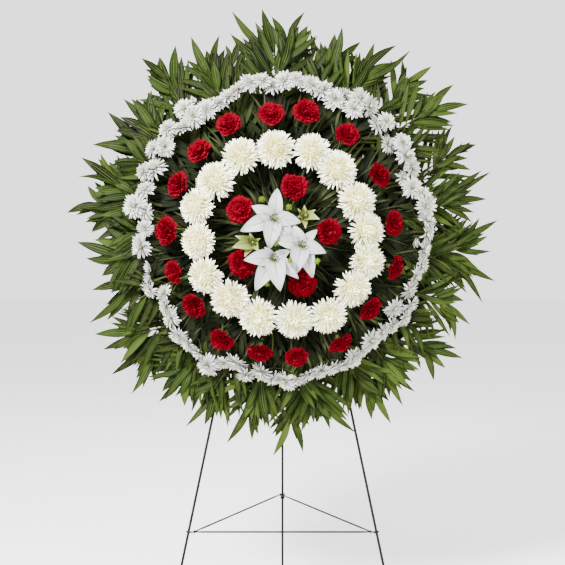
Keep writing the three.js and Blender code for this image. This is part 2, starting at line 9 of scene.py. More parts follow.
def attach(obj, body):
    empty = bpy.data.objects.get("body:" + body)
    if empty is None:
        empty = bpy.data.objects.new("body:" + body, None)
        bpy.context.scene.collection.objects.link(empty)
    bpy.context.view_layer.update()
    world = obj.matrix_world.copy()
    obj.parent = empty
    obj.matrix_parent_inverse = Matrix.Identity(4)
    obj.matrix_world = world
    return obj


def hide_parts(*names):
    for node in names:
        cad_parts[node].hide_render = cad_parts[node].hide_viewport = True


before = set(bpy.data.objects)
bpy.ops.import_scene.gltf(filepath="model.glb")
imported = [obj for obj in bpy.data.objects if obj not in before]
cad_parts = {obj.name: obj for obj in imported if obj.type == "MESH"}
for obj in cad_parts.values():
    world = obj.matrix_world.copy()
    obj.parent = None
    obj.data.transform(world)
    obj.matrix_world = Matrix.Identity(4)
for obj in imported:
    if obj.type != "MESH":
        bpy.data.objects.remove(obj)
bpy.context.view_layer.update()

TAU = 2 * math.pi

# ---- the frame, as in part.mjs (mm unless said) ----
ORIGIN = np.array([0.35, 28.545, 0.0])
APEX_Z, APEX_HALF, FOOT_X, FRONT_FOOT_Y, BACK_FOOT_Y = 1380.0, 6.0, 288.0, -241.6, 232.9
BRACE_Z = 260.0
LEAN = math.atan(-FRONT_FOOT_Y / APEX_Z)
WREATH_Z = 990.0
W0 = np.array([0.0, FRONT_FOOT_Y * (1 - WREATH_Z / APEX_Z), WREATH_Z])
AX_U = np.array([1.0, 0.0, 0.0])
AX_V = np.array([0.0, math.sin(LEAN), math.cos(LEAN)])
AX_N = np.array([0.0, -math.cos(LEAN), math.sin(LEAN)])


def wreath_to_world(p):
    """Wreath coordinates u, v, n in mm to the row frame in metres."""
    return (W0 + ORIGIN + p[:, :1] * AX_U + p[:, 1:2] * AX_V + p[:, 2:3] * AX_N) / 1000.0


def easel_to_world(p):
    return (p + ORIGIN) / 1000.0


# ---- camera: level, at the photograph's viewing angle ----
cam_data = bpy.data.cameras.new("camera")
cam_data.sensor_width = 36.0
cam_data.lens = 36.0 * 1080.0 / 565.0
cam_data.shift_y = -0.0823
cam = bpy.data.objects.new("camera", cam_data)
cam.location = ((0 + ORIGIN[0]) / 1000, -2.8966 + ORIGIN[1] / 1000, 1.0)
cam.rotation_euler = (math.radians(90), 0, 0)
bpy.context.scene.collection.objects.link(cam)
bpy.context.scene.camera = cam

# Carnation heads: u, v, n of the widest ring, facing direction, head radius (mm).
CARNATIONS = [
  [280.5, 17.9, 138.0, 0.739, -0.07, 0.67, 32.2],
  [246.6, 143.3, 138.0, 0.644, 0.244, 0.725, 32.7],
  [164.6, 249.6, 138.0, 0.229, 0.17, 0.958, 30.8],
  [60.8, 309.1, 138.0, 0.074, 0.175, 0.982, 33.6],
  [-28.5, 304.9, 138.0, -0.038, 0.321, 0.946, 32.8],
  [-137.8, 277.1, 138.0, -0.233, 0.326, 0.916, 32.6],
  [-213.2, 207.3, 138.0, -0.475, 0.331, 0.816, 32.0],
  [-266.5, 118.3, 138.0, -0.675, 0.181, 0.715, 34.3],
  [-293.4, 0.2, 138.0, -0.655, -0.13, 0.745, 35.3],
  [-271.9, -105.5, 138.0, -0.699, -0.382, 0.605, 29.5],
  [-220.6, -190.5, 138.0, -0.5, -0.558, 0.662, 32.8],
  [-150.4, -275.3, 138.0, -0.318, -0.713, 0.625, 31.1],
  [-56.2, -305.6, 138.0, -0.148, -0.927, 0.345, 33.4],
  [35.2, -316.5, 138.0, 0.062, -0.636, 0.769, 28.2],
  [144.0, -283.1, 138.0, 0.405, -0.84, 0.36, 31.1],
  [218.6, -198.4, 138.0, 0.598, -0.623, 0.505, 31.5],
  [281.4, -94.8, 138.0, 0.862, -0.35, 0.368, 30.6],
  [29.2, 109.0, 150.0, 0.079, 0.086, 0.993, 34.5],
  [-107.8, 51.6, 150.0, -0.239, -0.047, 0.97, 34.4],
  [-101.2, -87.5, 150.0, -0.238, -0.368, 0.899, 35.2],
  [48.5, -137.2, 150.0, 0.126, -0.478, 0.869, 35.4],
  [117.4, -6.0, 150.0, 0.41, -0.17, 0.896, 33.9],
]
# Football chrysanthemums: u, v, n, facing direction, head radius (mm).
MUMS = [
  [-17.6, 209.6, 146.0, -0.01, -0.011, 1.0, 49.1],
  [-106.9, 191.5, 146.0, -0.125, 0.06, 0.99, 47.8],
  [-171.7, 127.1, 146.0, -0.264, 0.033, 0.964, 48.9],
  [-218.3, 60.6, 146.0, -0.468, -0.02, 0.884, 46.2],
  [-213.3, -30.5, 146.0, -0.517, -0.217, 0.828, 47.1],
  [-193.6, -118.1, 146.0, -0.392, -0.389, 0.834, 45.6],
  [-131.5, -175.1, 146.0, -0.218, -0.452, 0.865, 49.2],
  [-58.8, -221.9, 146.0, -0.072, -0.451, 0.89, 47.8],
  [30.6, -226.8, 146.0, 0.052, -0.487, 0.872, 47.8],
  [114.0, -217.0, 146.0, 0.189, -0.496, 0.847, 46.6],
  [176.0, -150.4, 146.0, 0.354, -0.439, 0.826, 48.0],
  [215.1, -80.7, 146.0, 0.488, -0.32, 0.812, 47.0],
  [215.0, -2.8, 146.0, 0.521, -0.151, 0.84, 48.5],
  [191.0, 73.3, 146.0, 0.433, 0.007, 0.901, 49.9],
  [139.3, 155.4, 146.0, 0.182, 0.024, 0.983, 50.2],
  [74.3, 201.9, 146.0, 0.073, 0.009, 0.997, 47.8],
]
# Small white spray blooms: u, v, n, facing direction, bloom radius (mm).
SPRAY = [
  [-53.0, 400.5, 108.0, -0.055, 0.285, 0.957, 25.8],
  [-86.5, 395.1, 108.0, -0.109, 0.36, 0.927, 25.8],
  [-27.2, 389.7, 100.0, -0.047, 0.669, 0.742, 23.3],
  [3.9, 400.5, 108.0, 0.012, 0.372, 0.928, 28.4],
  [37.5, 405.9, 108.0, 0.07, 0.522, 0.85, 20.7],
  [47.8, 392.5, 108.0, 0.051, 0.204, 0.978, 16.8],
  [-117.8, 378.9, 100.0, -0.231, 0.635, 0.738, 25.9],
  [-140.9, 360.1, 100.0, -0.286, 0.618, 0.732, 25.9],
  [-166.5, 341.3, 100.0, -0.347, 0.594, 0.726, 25.8],
  [-196.7, 322.8, 108.0, -0.238, 0.231, 0.943, 27.0],
  [-229.9, 304.2, 108.0, -0.276, 0.204, 0.939, 29.5],
  [-254.1, 327.9, 100.0, -0.482, 0.5, 0.72, 28.4],
  [-258.5, 277.2, 100.0, -0.618, 0.57, 0.542, 25.7],
  [-296.1, 272.3, 108.0, -0.389, 0.201, 0.899, 24.4],
  [-300.3, 222.2, 108.0, -0.24, 0.006, 0.971, 26.8],
  [-330.9, 219.5, 108.0, -0.61, 0.274, 0.744, 24.3],
  [-328.3, 169.0, 100.0, -0.709, 0.242, 0.663, 31.9],
  [-356.1, 158.5, 100.0, -0.723, 0.199, 0.661, 24.3],
  [-349.0, 112.4, 108.0, -0.439, -0.021, 0.898, 24.1],
  [-375.9, 68.3, 108.0, -0.523, -0.061, 0.85, 31.6],
  [-350.2, 52.9, 108.0, -0.671, -0.037, 0.741, 25.3],
  [-347.8, 10.6, 100.0, -0.796, -0.095, 0.598, 21.5],
  [-359.4, -33.0, 100.0, -0.882, -0.175, 0.439, 31.5],
  [-335.6, -86.5, 100.0, -0.815, -0.315, 0.486, 18.9],
  [-335.0, -114.4, 100.0, -0.794, -0.376, 0.478, 18.8],
  [-334.4, -144.7, 100.0, -0.721, -0.428, 0.544, 23.8],
  [-299.1, -152.2, 100.0, -0.749, -0.484, 0.453, 22.5],
  [-293.5, -187.4, 100.0, -0.663, -0.539, 0.52, 25.0],
  [-280.5, -214.9, 100.0, -0.661, -0.61, 0.436, 26.2],
  [-259.8, -262.2, 100.0, -0.639, -0.722, 0.265, 24.9],
  [-234.6, -282.1, 100.0, -0.579, -0.774, 0.255, 26.1],
  [-209.5, -304.3, 100.0, -0.512, -0.823, 0.247, 24.8],
  [-186.8, -333.9, 100.0, -0.374, -0.79, 0.486, 28.5],
  [-149.7, -329.0, 100.0, -0.371, -0.9, 0.23, 22.3],
  [-117.6, -329.0, 100.0, -0.299, -0.928, 0.221, 28.5],
  [-90.2, -358.5, 100.0, -0.214, -0.951, 0.224, 24.7],
  [-53.1, -351.1, 100.0, -0.109, -0.881, 0.461, 28.4],
  [-23.5, -368.3, 100.0, -0.048, -0.974, 0.22, 22.2],
  [6.2, -373.2, 100.0, 0.023, -0.922, 0.387, 25.9],
  [38.3, -370.7, 100.0, 0.103, -0.97, 0.222, 22.2],
  [67.9, -356.0, 100.0, 0.181, -0.958, 0.22, 24.7],
  [95.2, -348.7, 100.0, 0.25, -0.942, 0.223, 24.7],
  [124.9, -341.3, 100.0, 0.323, -0.919, 0.228, 24.7],
  [152.2, -333.9, 100.0, 0.387, -0.892, 0.234, 22.3],
  [177.1, -316.7, 100.0, 0.414, -0.816, 0.403, 26.0],
  [199.6, -299.4, 100.0, 0.515, -0.822, 0.244, 19.8],
  [222.3, -272.2, 100.0, 0.504, -0.711, 0.49, 26.1],
  [250.0, -252.3, 100.0, 0.651, -0.713, 0.261, 22.4],
  [275.2, -234.9, 100.0, 0.701, -0.658, 0.273, 22.4],
  [280.1, -193.3, 108.0, 0.384, -0.417, 0.824, 24.9],
  [305.4, -217.4, 100.0, 0.749, -0.596, 0.289, 22.4],
  [321.0, -184.9, 100.0, 0.797, -0.525, 0.3, 25.0],
  [319.3, -147.2, 100.0, 0.854, -0.453, 0.257, 25.0],
  [335.1, -111.8, 100.0, 0.892, -0.36, 0.274, 25.1],
  [353.3, -81.4, 100.0, 0.916, -0.277, 0.292, 22.6],
  [359.2, -43.2, 100.0, 0.934, -0.181, 0.308, 27.7],
  [367.7, -2.2, 100.0, 0.953, -0.072, 0.295, 27.8],
  [333.4, -26.6, 108.0, 0.679, -0.189, 0.709, 15.1],
  [368.6, 33.8, 100.0, 0.939, 0.011, 0.344, 25.3],
  [366.9, 70.0, 100.0, 0.829, 0.046, 0.558, 29.2],
  [359.9, 98.5, 100.0, 0.767, 0.084, 0.636, 25.4],
  [331.4, 117.6, 108.0, 0.643, 0.083, 0.761, 26.7],
  [309.9, 142.8, 100.0, 0.732, 0.207, 0.649, 20.4],
  [333.4, 169.0, 100.0, 0.758, 0.265, 0.596, 26.8],
  [317.7, 198.5, 108.0, 0.52, 0.167, 0.838, 31.9],
  [308.2, 235.3, 108.0, 0.367, 0.108, 0.924, 24.3],
  [273.1, 232.2, 100.0, 0.618, 0.387, 0.685, 25.6],
  [245.0, 282.9, 108.0, 0.406, 0.304, 0.861, 26.9],
  [268.2, 290.9, 108.0, 0.415, 0.287, 0.863, 24.4],
  [228.4, 333.3, 100.0, 0.457, 0.522, 0.72, 27.1],
  [202.3, 352.2, 108.0, 0.342, 0.432, 0.834, 28.3],
  [183.9, 325.5, 108.0, 0.235, 0.234, 0.943, 25.7],
  [164.2, 368.1, 100.0, 0.333, 0.594, 0.732, 20.7],
  [135.3, 352.2, 108.0, 0.173, 0.264, 0.949, 29.6],
  [102.2, 378.9, 100.0, 0.218, 0.639, 0.737, 28.5],
  [76.2, 389.8, 108.0, 0.138, 0.514, 0.846, 28.4],
]
# Tips of the palm leaflets round the rim: u, v (mm).
FROND_TIPS = [
  [-55.4, 629.1],
  [60.7, 617.7],
  [160.2, 575.2],
  [210.9, 538.5],
  [245.7, 530.1],
  [304.6, 518.8],
  [341.8, 504.8],
  [400.0, 468.4],
  [451.8, 407.2],
  [487.5, 351.9],
  [511.0, 250.6],
  [545.4, 174.8],
  [532.5, 102.3],
  [562.1, 49.0],
  [534.6, 6.7],
  [538.4, -35.5],
  [546.2, -113.9],
  [513.4, -171.0],
  [475.7, -227.6],
  [460.5, -309.3],
  [416.5, -334.7],
  [385.1, -367.5],
  [336.2, -395.2],
  [302.6, -430.3],
  [273.9, -475.2],
  [226.1, -465.3],
  [185.3, -497.6],
  [119.8, -490.1],
  [51.5, -547.0],
  [-23.9, -554.4],
  [-76.8, -514.9],
  [-139.7, -522.3],
  [-195.6, -477.7],
  [-243.5, -482.7],
  [-310.3, -420.3],
  [-381.8, -400.2],
  [-436.3, -352.4],
  [-456.0, -289.0],
  [-477.5, -250.7],
  [-496.4, -219.9],
  [-491.3, -134.7],
  [-504.1, -56.5],
  [-531.4, -11.8],
  [-562.8, 67.6],
  [-531.7, 155.9],
  [-525.5, 209.9],
  [-503.1, 253.3],
  [-466.0, 343.6],
  [-421.7, 374.0],
  [-376.3, 485.2],
  [-328.2, 490.8],
  [-285.8, 521.6],
  [-243.1, 538.5],
  [-168.0, 547.0],
  [-136.3, 617.7],
]


# ---- mesh building ----
def unit(a):
    return a / np.maximum(np.linalg.norm(a, axis=-1, keepdims=True), 1e-12)


def smooth(a, b, x):
    t = np.clip((x - a) / (b - a), 0, 1)
    return t * t * (3 - 2 * t)


class Mesh:
    """Collects patches of vertices with uv and two shading values, then makes one object."""

    def __init__(self):
        self.v, self.f, self.uv, self.rnd, self.rad, self.mat, self.count = [], [], [], [], [], [], 0

    def add(self, v, f, uv, rnd, rad, mat=0):
        n = len(v)
        self.v.append(v)
        self.f.append(f + self.count)
        self.uv.append(uv)
        self.rnd.append(np.broadcast_to(rnd, n).astype(float))
        self.rad.append(np.broadcast_to(rad, n).astype(float))
        self.mat.append(np.full(len(f), mat))
        self.count += n

    def join(self, other, move=None):
        v = np.concatenate(other.v)
        v = move(v) if move else v
        off = self.count
        self.v.append(v)
        self.f.append(np.concatenate(other.f) + off)
        self.uv.append(np.concatenate(other.uv))
        self.rnd.append(np.concatenate(other.rnd))
        self.rad.append(np.concatenate(other.rad))
        self.mat.append(np.concatenate(other.mat))
        self.count += len(v)

    def make(self, name, materials, to_world, body, node=(), slot=None, flat=False):
        v = to_world(np.concatenate(self.v))
        f = np.concatenate(self.f)
        uv = np.concatenate(self.uv)
        me = bpy.data.meshes.new(name)
        me.vertices.add(len(v))
        me.vertices.foreach_set("co", v.astype(np.float32).ravel())
        me.loops.add(f.size)
        me.loops.foreach_set("vertex_index", f.astype(np.int32).ravel())
        me.polygons.add(len(f))
        me.polygons.foreach_set("loop_start", np.arange(0, f.size, 4, dtype=np.int32))
        me.polygons.foreach_set("loop_total", np.full(len(f), 4, dtype=np.int32))
        me.polygons.foreach_set("material_index", np.concatenate(self.mat).astype(np.int32))
        me.polygons.foreach_set("use_smooth", np.full(len(f), not flat))
        layer = me.uv_layers.new(name="UVMap")
        layer.data.foreach_set("uv", uv[f.ravel()].astype(np.float32).ravel())
        for key, data in (("rnd", self.rnd), ("rad", self.rad)):
            at = me.attributes.new(key, "FLOAT", "POINT")
            at.data.foreach_set("value", np.concatenate(data).astype(np.float32))
        for m in materials:
            me.materials.append(m)
        me.update(calc_edges=True)
        me.validate()
        ob = bpy.data.objects.new(name, me)
        bpy.context.scene.collection.objects.link(ob)
        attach(ob, body)
        if node:
            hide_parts(*([node] if isinstance(node, str) else node))
        return ob


def grid_faces(k, nv, nu, closed=False):
    """Quads of k patches of (nv+1) x (nu+1) vertices; closed joins the last column to the first."""
    cols = nu if closed else nu + 1
    i, j = np.meshgrid(np.arange(nv), np.arange(nu), indexing="ij")
    j2 = (j + 1) % cols
    q = np.stack([i * cols + j, i * cols + j2, (i + 1) * cols + j2, (i + 1) * cols + j], -1).reshape(-1, 4)
    off = np.arange(k)[:, None, None] * (nv + 1) * cols
    return (q[None] + off).reshape(-1, 4)


def strips(base, d, up, length, width, th0, th1, shape, nv, nu, cup=0.0, power=1.0, fan=0.0, ruffle=None, serr=0.0, ridge=None, sway=0.0, twist=0.0):
    """K curved petals or leaves. d is the starting direction, up the side they bend to. th0 and th1 are the
    start and end angle out of d, shape(t) the half-width over width / 2."""
    k = len(base)
    full = lambda x: np.broadcast_to(np.asarray(x, float), (k,))
    length, width, th0, th1, cup, fan, sway, twist = map(full, (length, width, th0, th1, cup, fan, sway, twist))
    d, up = unit(d), unit(up - (up * unit(d)).sum(-1, keepdims=True) * unit(d))
    side = np.cross(d, up)
    t = np.linspace(0, 1, nv + 1)
    s = np.linspace(-1, 1, nu + 1)
    tm = (t[1:] + t[:-1]) / 2
    thm = th0[:, None] + (th1 - th0)[:, None] * tm[None] ** power
    th = th0[:, None] + (th1 - th0)[:, None] * t[None] ** power
    step = (length / nv)[:, None, None]
    seg = step * (np.cos(thm)[..., None] * d[:, None] + np.sin(thm)[..., None] * up[:, None])
    c = base[:, None] + np.concatenate([np.zeros((k, 1, 3)), np.cumsum(seg, 1)], 1)
    tang = np.cos(th)[..., None] * d[:, None] + np.sin(th)[..., None] * up[:, None]
    norm = -np.sin(th)[..., None] * d[:, None] + np.cos(th)[..., None] * up[:, None]
    c = c + (sway * length)[:, None, None] * (t[None, :, None] ** 2) * side[:, None]
    sd = np.broadcast_to(side[:, None], norm.shape)
    a = (twist[:, None] * t[None])[..., None]
    sd, norm = np.cos(a) * sd + np.sin(a) * norm, -np.sin(a) * sd + np.cos(a) * norm
    w = (width / 2)[:, None] * np.maximum(shape(t), 0.01)[None]
    v = c[:, :, None] + sd[:, :, None] * (w[..., None] * s)[..., None]
    v = v + norm[:, :, None] * ((cup[:, None] * w)[..., None] * s**2)[..., None]
    v = v - tang[:, :, None] * ((fan * length)[:, None, None] * (t**2)[None, :, None] * (s**2)[None, None])[..., None]
    if ruffle is not None:
        amp, freq, ph = ruffle
        wave = np.sin(freq[:, None, None] * math.pi * s[None, None] + ph[:, None, None])
        wave = wave + 0.45 * np.sin(2.7 * freq[:, None, None] * math.pi * s[None, None] + 2.3 * ph[:, None, None])
        v = v + norm[:, :, None] * (amp[:, None, None] * (smooth(0.35, 1, t) ** 1.2)[None, :, None] * wave)[..., None]
    if serr:
        zig = np.where(np.arange(nu + 1) % 2 == 0, 1.0, -1.0)[None, None] * (t[None, :, None] > 0.99)
        v = v + tang[:, :, None] * (serr * length[:, None, None] * zig)[..., None]
    if ridge is not None:
        v = v + norm[:, :, None] * (ridge(s)[None, None] * w[..., None])[..., None]
    uv = np.broadcast_to(np.stack(np.meshgrid((s + 1) / 2, t), -1)[None], (k, nv + 1, nu + 1, 2))
    return v.reshape(-1, 3), grid_faces(k, nv, nu), uv.reshape(-1, 2), (nv + 1) * (nu + 1)


def tube(points, radius, sides=12, cap=True, rnd=0.5, squash=None):
    """Round rod along points, with parallel-carried frames and domed ends."""
    p = np.asarray(points, float)
    r = np.broadcast_to(np.asarray(radius, float), (len(p),)).copy()
    tan = unit(np.gradient(p, axis=0))
    if cap:
        p = np.concatenate([p[:1] - tan[:1] * r[0] * 0.35, p[:1] - tan[:1] * r[0] * 0.2, p, p[-1:] + tan[-1:] * r[-1] * 0.2, p[-1:] + tan[-1:] * r[-1] * 0.35])
        tan = np.concatenate([tan[:1], tan[:1], tan, tan[-1:], tan[-1:]])
        r = np.concatenate([[r[0] * 0.02, r[0] * 0.75], r, [r[-1] * 0.75, r[-1] * 0.02]])
    n = np.zeros_like(p)
    a = np.array([0.0, 0, 1]) if abs(tan[0][2]) < 0.9 else np.array([1.0, 0, 0])
    n[0] = unit(a - tan[0] * (a @ tan[0]))
    for i in range(1, len(p)):
        x = n[i - 1] - tan[i] * (n[i - 1] @ tan[i])
        n[i] = unit(x)
    b = np.cross(tan, n)
    ang = np.arange(sides) / sides * TAU
    v = p[:, None] + r[:, None, None] * (np.cos(ang)[None, :, None] * n[:, None] + np.sin(ang)[None, :, None] * b[:, None])
    length = np.concatenate([[0], np.cumsum(np.linalg.norm(np.diff(p, axis=0), axis=1))])
    uv = np.stack(np.meshgrid(np.arange(sides) / sides, length / 50.0), -1)
    return v.reshape(-1, 3), grid_faces(1, len(p) - 1, sides, closed=True), uv.reshape(-1, 2)


def curve(ctrl, n):
    """Catmull-Rom points through the control points."""
    c = np.asarray(ctrl, float)
    c = np.concatenate([[2 * c[0] - c[1]], c, [2 * c[-1] - c[-2]]])
    segs = len(c) - 3
    out = []
    for t in np.linspace(0, segs, n):
        i = min(int(t), segs - 1)
        x = t - i
        a, b, cc, d = c[i : i + 4]
        out.append(0.5 * ((2 * b) + (-a + cc) * x + (2 * a - 5 * b + 4 * cc - d) * x * x + (-a + 3 * b - 3 * cc + d) * x**3))
    return np.array(out)


def revolve(profile, axis_at, axis, around=24):
    """Surface of revolution of (radius, height) pairs about an axis."""
    axis = unit(np.asarray(axis, float))
    a = np.array([0.0, 0, 1]) if abs(axis[2]) < 0.9 else np.array([1.0, 0, 0])
    x = unit(np.cross(axis, a))
    y = np.cross(axis, x)
    ang = np.arange(around) / around * TAU
    pr = np.asarray(profile, float)
    v = np.asarray(axis_at, float) + pr[:, 1, None, None] * axis + pr[:, 0, None, None] * (np.cos(ang)[None, :, None] * x + np.sin(ang)[None, :, None] * y)
    uv = np.stack(np.meshgrid(np.arange(around) / around, np.linspace(0, 1, len(pr))), -1)
    return v.reshape(-1, 3), grid_faces(1, len(pr) - 1, around, closed=True), uv.reshape(-1, 2)


def to_axis(at, axis, roll=0.0):
    """Moves points from a head's own frame, +z out of its face, into the wreath's."""
    z = unit(np.asarray(axis, float))
    a = np.array([0.0, 1, 0]) if abs(z[1]) < 0.95 else np.array([1.0, 0, 0])
    x = unit(np.cross(a, z))
    y = np.cross(z, x)
    x, y = math.cos(roll) * x + math.sin(roll) * y, -math.sin(roll) * x + math.cos(roll) * y
    at = np.asarray(at, float)
    return lambda p: at + p[:, :1] * x + p[:, 1:2] * y + p[:, 2:3] * z


# ---- materials ----
def new_mat(name):
    m = bpy.data.materials.new(name)
    m.use_nodes = True
    nt = m.node_tree
    nt.nodes.clear()
    out = nt.nodes.new("ShaderNodeOutputMaterial")
    b = nt.nodes.new("ShaderNodeBsdfPrincipled")
    nt.links.new(b.outputs[0], out.inputs[0])
    return m, nt, b


def node(nt, kind, **values):
    n = nt.nodes.new(kind)
    for k, v in values.items():
        if hasattr(n, k):
            setattr(n, k, v)
    return n


def math_node(nt, op, a, b=None, clamp=False):
    n = nt.nodes.new("ShaderNodeMath")
    n.operation, n.use_clamp = op, clamp
    for i, x in enumerate((a, b)):
        if x is None:
            continue
        if isinstance(x, (int, float)):
            n.inputs[i].default_value = x
        else:
            nt.links.new(x, n.inputs[i])
    return n.outputs[0]


def ramp(nt, fac, stops):
    n = nt.nodes.new("ShaderNodeValToRGB")
    e = n.color_ramp.elements
    e[0].position, e[0].color = stops[0][0], (*stops[0][1], 1)
    e[1].position, e[1].color = stops[-1][0], (*stops[-1][1], 1)
    for p, c in stops[1:-1]:
        x = e.new(p)
        x.color = (*c, 1)
    nt.links.new(fac, n.inputs[0])
    return n.outputs[0]


def mix(nt, fac, a, b, mode="MIX"):
    n = nt.nodes.new("ShaderNodeMix")
    n.data_type, n.blend_type = "RGBA", mode
    if isinstance(fac, (int, float)):
        n.inputs[0].default_value = fac
    else:
        nt.links.new(fac, n.inputs[0])
    for i, x in ((6, a), (7, b)):
        if isinstance(x, tuple):
            n.inputs[i].default_value = (*x, 1)
        else:
            nt.links.new(x, n.inputs[i])
    return n.outputs[2]


def attr(nt, name):
    n = nt.nodes.new("ShaderNodeAttribute")
    n.attribute_name = name
    return n.outputs["Fac"]


def uv_parts(nt):
    u = nt.nodes.new("ShaderNodeUVMap")
    u.uv_map = "UVMap"
    s = nt.nodes.new("ShaderNodeSeparateXYZ")
    nt.links.new(u.outputs[0], s.inputs[0])
    return s.outputs[0], s.outputs[1]


def noise(nt, scale, detail=3.0, rough=0.55, stretch=None):
    c = nt.nodes.new("ShaderNodeTexCoord")
    n = nt.nodes.new("ShaderNodeTexNoise")
    n.inputs["Scale"].default_value = scale
    n.inputs["Detail"].default_value = detail
    n.inputs["Roughness"].default_value = rough
    src = c.outputs["Object"]
    if stretch:
        mp = nt.nodes.new("ShaderNodeMapping")
        mp.inputs["Scale"].default_value = stretch
        nt.links.new(src, mp.inputs[0])
        src = mp.outputs[0]
    nt.links.new(src, n.inputs["Vector"])
    return n.outputs["Fac"]


def bump(nt, bsdf, height, strength, distance):
    n = nt.nodes.new("ShaderNodeBump")
    n.inputs["Strength"].default_value = strength
    n.inputs["Distance"].default_value = distance
    nt.links.new(height, n.inputs["Height"])
    nt.links.new(n.outputs[0], bsdf.inputs["Normal"])


def veins(nt, u, count):
    """1 on a vein line, 0 between, for lines that run along the leaf."""
    x = math_node(nt, "MULTIPLY", u, count * math.pi)
    x = math_node(nt, "SINE", x)
    x = math_node(nt, "ABSOLUTE", x)
    return math_node(nt, "SUBTRACT", 1.0, x)


DIM = 0.74  # the lights are strong, so the dark colours are held down


def leaf_material(name, dark, mid, light, edge, rough, count=7.0, vein_and_highlight=0.35, rim_painted_shade=0.6, spec=0.28):
    m, nt, b = new_mat(name)
    dark, mid, light, edge = (tuple(DIM * x for x in c) for c in (dark, mid, light, edge))
    u, v = uv_parts(nt)
    r = attr(nt, "rnd")
    base = ramp(nt, r, [(0.0, dark), (0.55, mid), (1.0, light)])
    mott = noise(nt, 26.0, 4.0)
    base = mix(nt, math_node(nt, "MULTIPLY", math_node(nt, "SUBTRACT", mott, 0.48, True), 1.2), base, light)
    # the light vein lines along the leaf are partly its own paler veins and partly painted highlight streaks on its
    # pleats
    vn = math_node(nt, "POWER", veins(nt, u, count), 3.0)
    base = mix(nt, math_node(nt, "MULTIPLY", vn, vein_and_highlight), base, light)
    c = math_node(nt, "ABSOLUTE", math_node(nt, "SUBTRACT", u, 0.5))
    rib = math_node(nt, "SUBTRACT", 1.0, math_node(nt, "MULTIPLY", c, 22.0, True), True)
    base = mix(nt, math_node(nt, "MULTIPLY", rib, 0.55), base, edge)
    # painted shade: the leaflets darken towards their edges, standing in for the shade in the gaps between leaflets
    far = math_node(nt, "MULTIPLY", math_node(nt, "SUBTRACT", c, 0.40, True), 10.0, True)
    base = mix(nt, math_node(nt, "MULTIPLY", far, rim_painted_shade), base, dark)
    tip = math_node(nt, "MULTIPLY", math_node(nt, "SUBTRACT", v, 0.90, True), 10.0, True)
    base = mix(nt, math_node(nt, "MULTIPLY", tip, 0.8), base, (0.022, 0.018, 0.008))
    nt.links.new(base, b.inputs["Base Color"])
    rg = math_node(nt, "ADD", rough - 0.08, math_node(nt, "MULTIPLY", mott, 0.2))
    nt.links.new(rg, b.inputs["Roughness"])
    b.inputs["Specular IOR Level"].default_value = spec
    h = math_node(nt, "SUBTRACT", math_node(nt, "MULTIPLY", rib, 0.9), math_node(nt, "MULTIPLY", vn, -0.5))
    bump(nt, b, h, 0.6, 0.0007)
    return m


def petal_material(name, inner, outer, base_col, rough, count=5.0, base_to=0.45, vein=0.12, sheen=0.0, tip=None, mottle=0.0, bump_mm=0.25, spec=0.3, soft=0.0, vary=0.16, rib=None, dim=DIM):
    """inner and outer are the colours at the head's middle and rim, base_col the foot of each petal."""
    m, nt, b = new_mat(name)
    inner, outer, base_col = (tuple(dim * x for x in c) for c in (inner, outer, base_col))
    tip = (tuple(dim * x for x in tip[0]), tip[1]) if tip else None
    rib = (tuple(dim * x for x in rib[0]), rib[1]) if rib else None
    u, v = uv_parts(nt)
    rad, r = attr(nt, "rad"), attr(nt, "rnd")
    col = mix(nt, rad, inner, outer)
    foot = math_node(nt, "SUBTRACT", 1.0, math_node(nt, "DIVIDE", v, base_to), True)
    col = mix(nt, foot, col, base_col)
    vn = veins(nt, u, count)
    col = mix(nt, math_node(nt, "MULTIPLY", math_node(nt, "POWER", vn, 2.0), vein), col, base_col)
    if rib:
        off = math_node(nt, "ABSOLUTE", math_node(nt, "SUBTRACT", u, 0.5))
        line = math_node(nt, "SUBTRACT", 1.0, math_node(nt, "MULTIPLY", off, 14.0, True), True)
        fade = math_node(nt, "SUBTRACT", 1.0, math_node(nt, "POWER", v, 2.5), True)
        col = mix(nt, math_node(nt, "MULTIPLY", math_node(nt, "MULTIPLY", line, fade), rib[1]), col, rib[0])
    if tip:
        t = math_node(nt, "MULTIPLY", math_node(nt, "SUBTRACT", v, 0.8, True), 5.0, True)
        col = mix(nt, math_node(nt, "MULTIPLY", t, tip[1]), col, tip[0])
    shade = math_node(nt, "ADD", 1.0 - 0.62 * vary, math_node(nt, "MULTIPLY", r, vary))
    if mottle:
        shade = math_node(nt, "MULTIPLY", shade, math_node(nt, "ADD", 1 - mottle * 0.5, math_node(nt, "MULTIPLY", noise(nt, 260.0, 2.0), mottle)))
    g = nt.nodes.new("ShaderNodeHueSaturation")
    nt.links.new(shade, g.inputs["Value"])
    nt.links.new(col, g.inputs["Color"])
    nt.links.new(g.outputs[0], b.inputs["Base Color"])
    rg = math_node(nt, "ADD", rough, math_node(nt, "MULTIPLY", vn, 0.12))
    nt.links.new(rg, b.inputs["Roughness"])
    b.inputs["Specular IOR Level"].default_value = spec
    if soft:
        b.inputs["Subsurface Weight"].default_value = soft
        b.inputs["Subsurface Radius"].default_value = (1.0, 1.0, 1.0)
        b.inputs["Subsurface Scale"].default_value = 0.004
    if sheen:
        b.inputs["Sheen Weight"].default_value = sheen
        b.inputs["Sheen Roughness"].default_value = 0.4
    bump(nt, b, vn, 0.5, bump_mm / 1000)
    return m


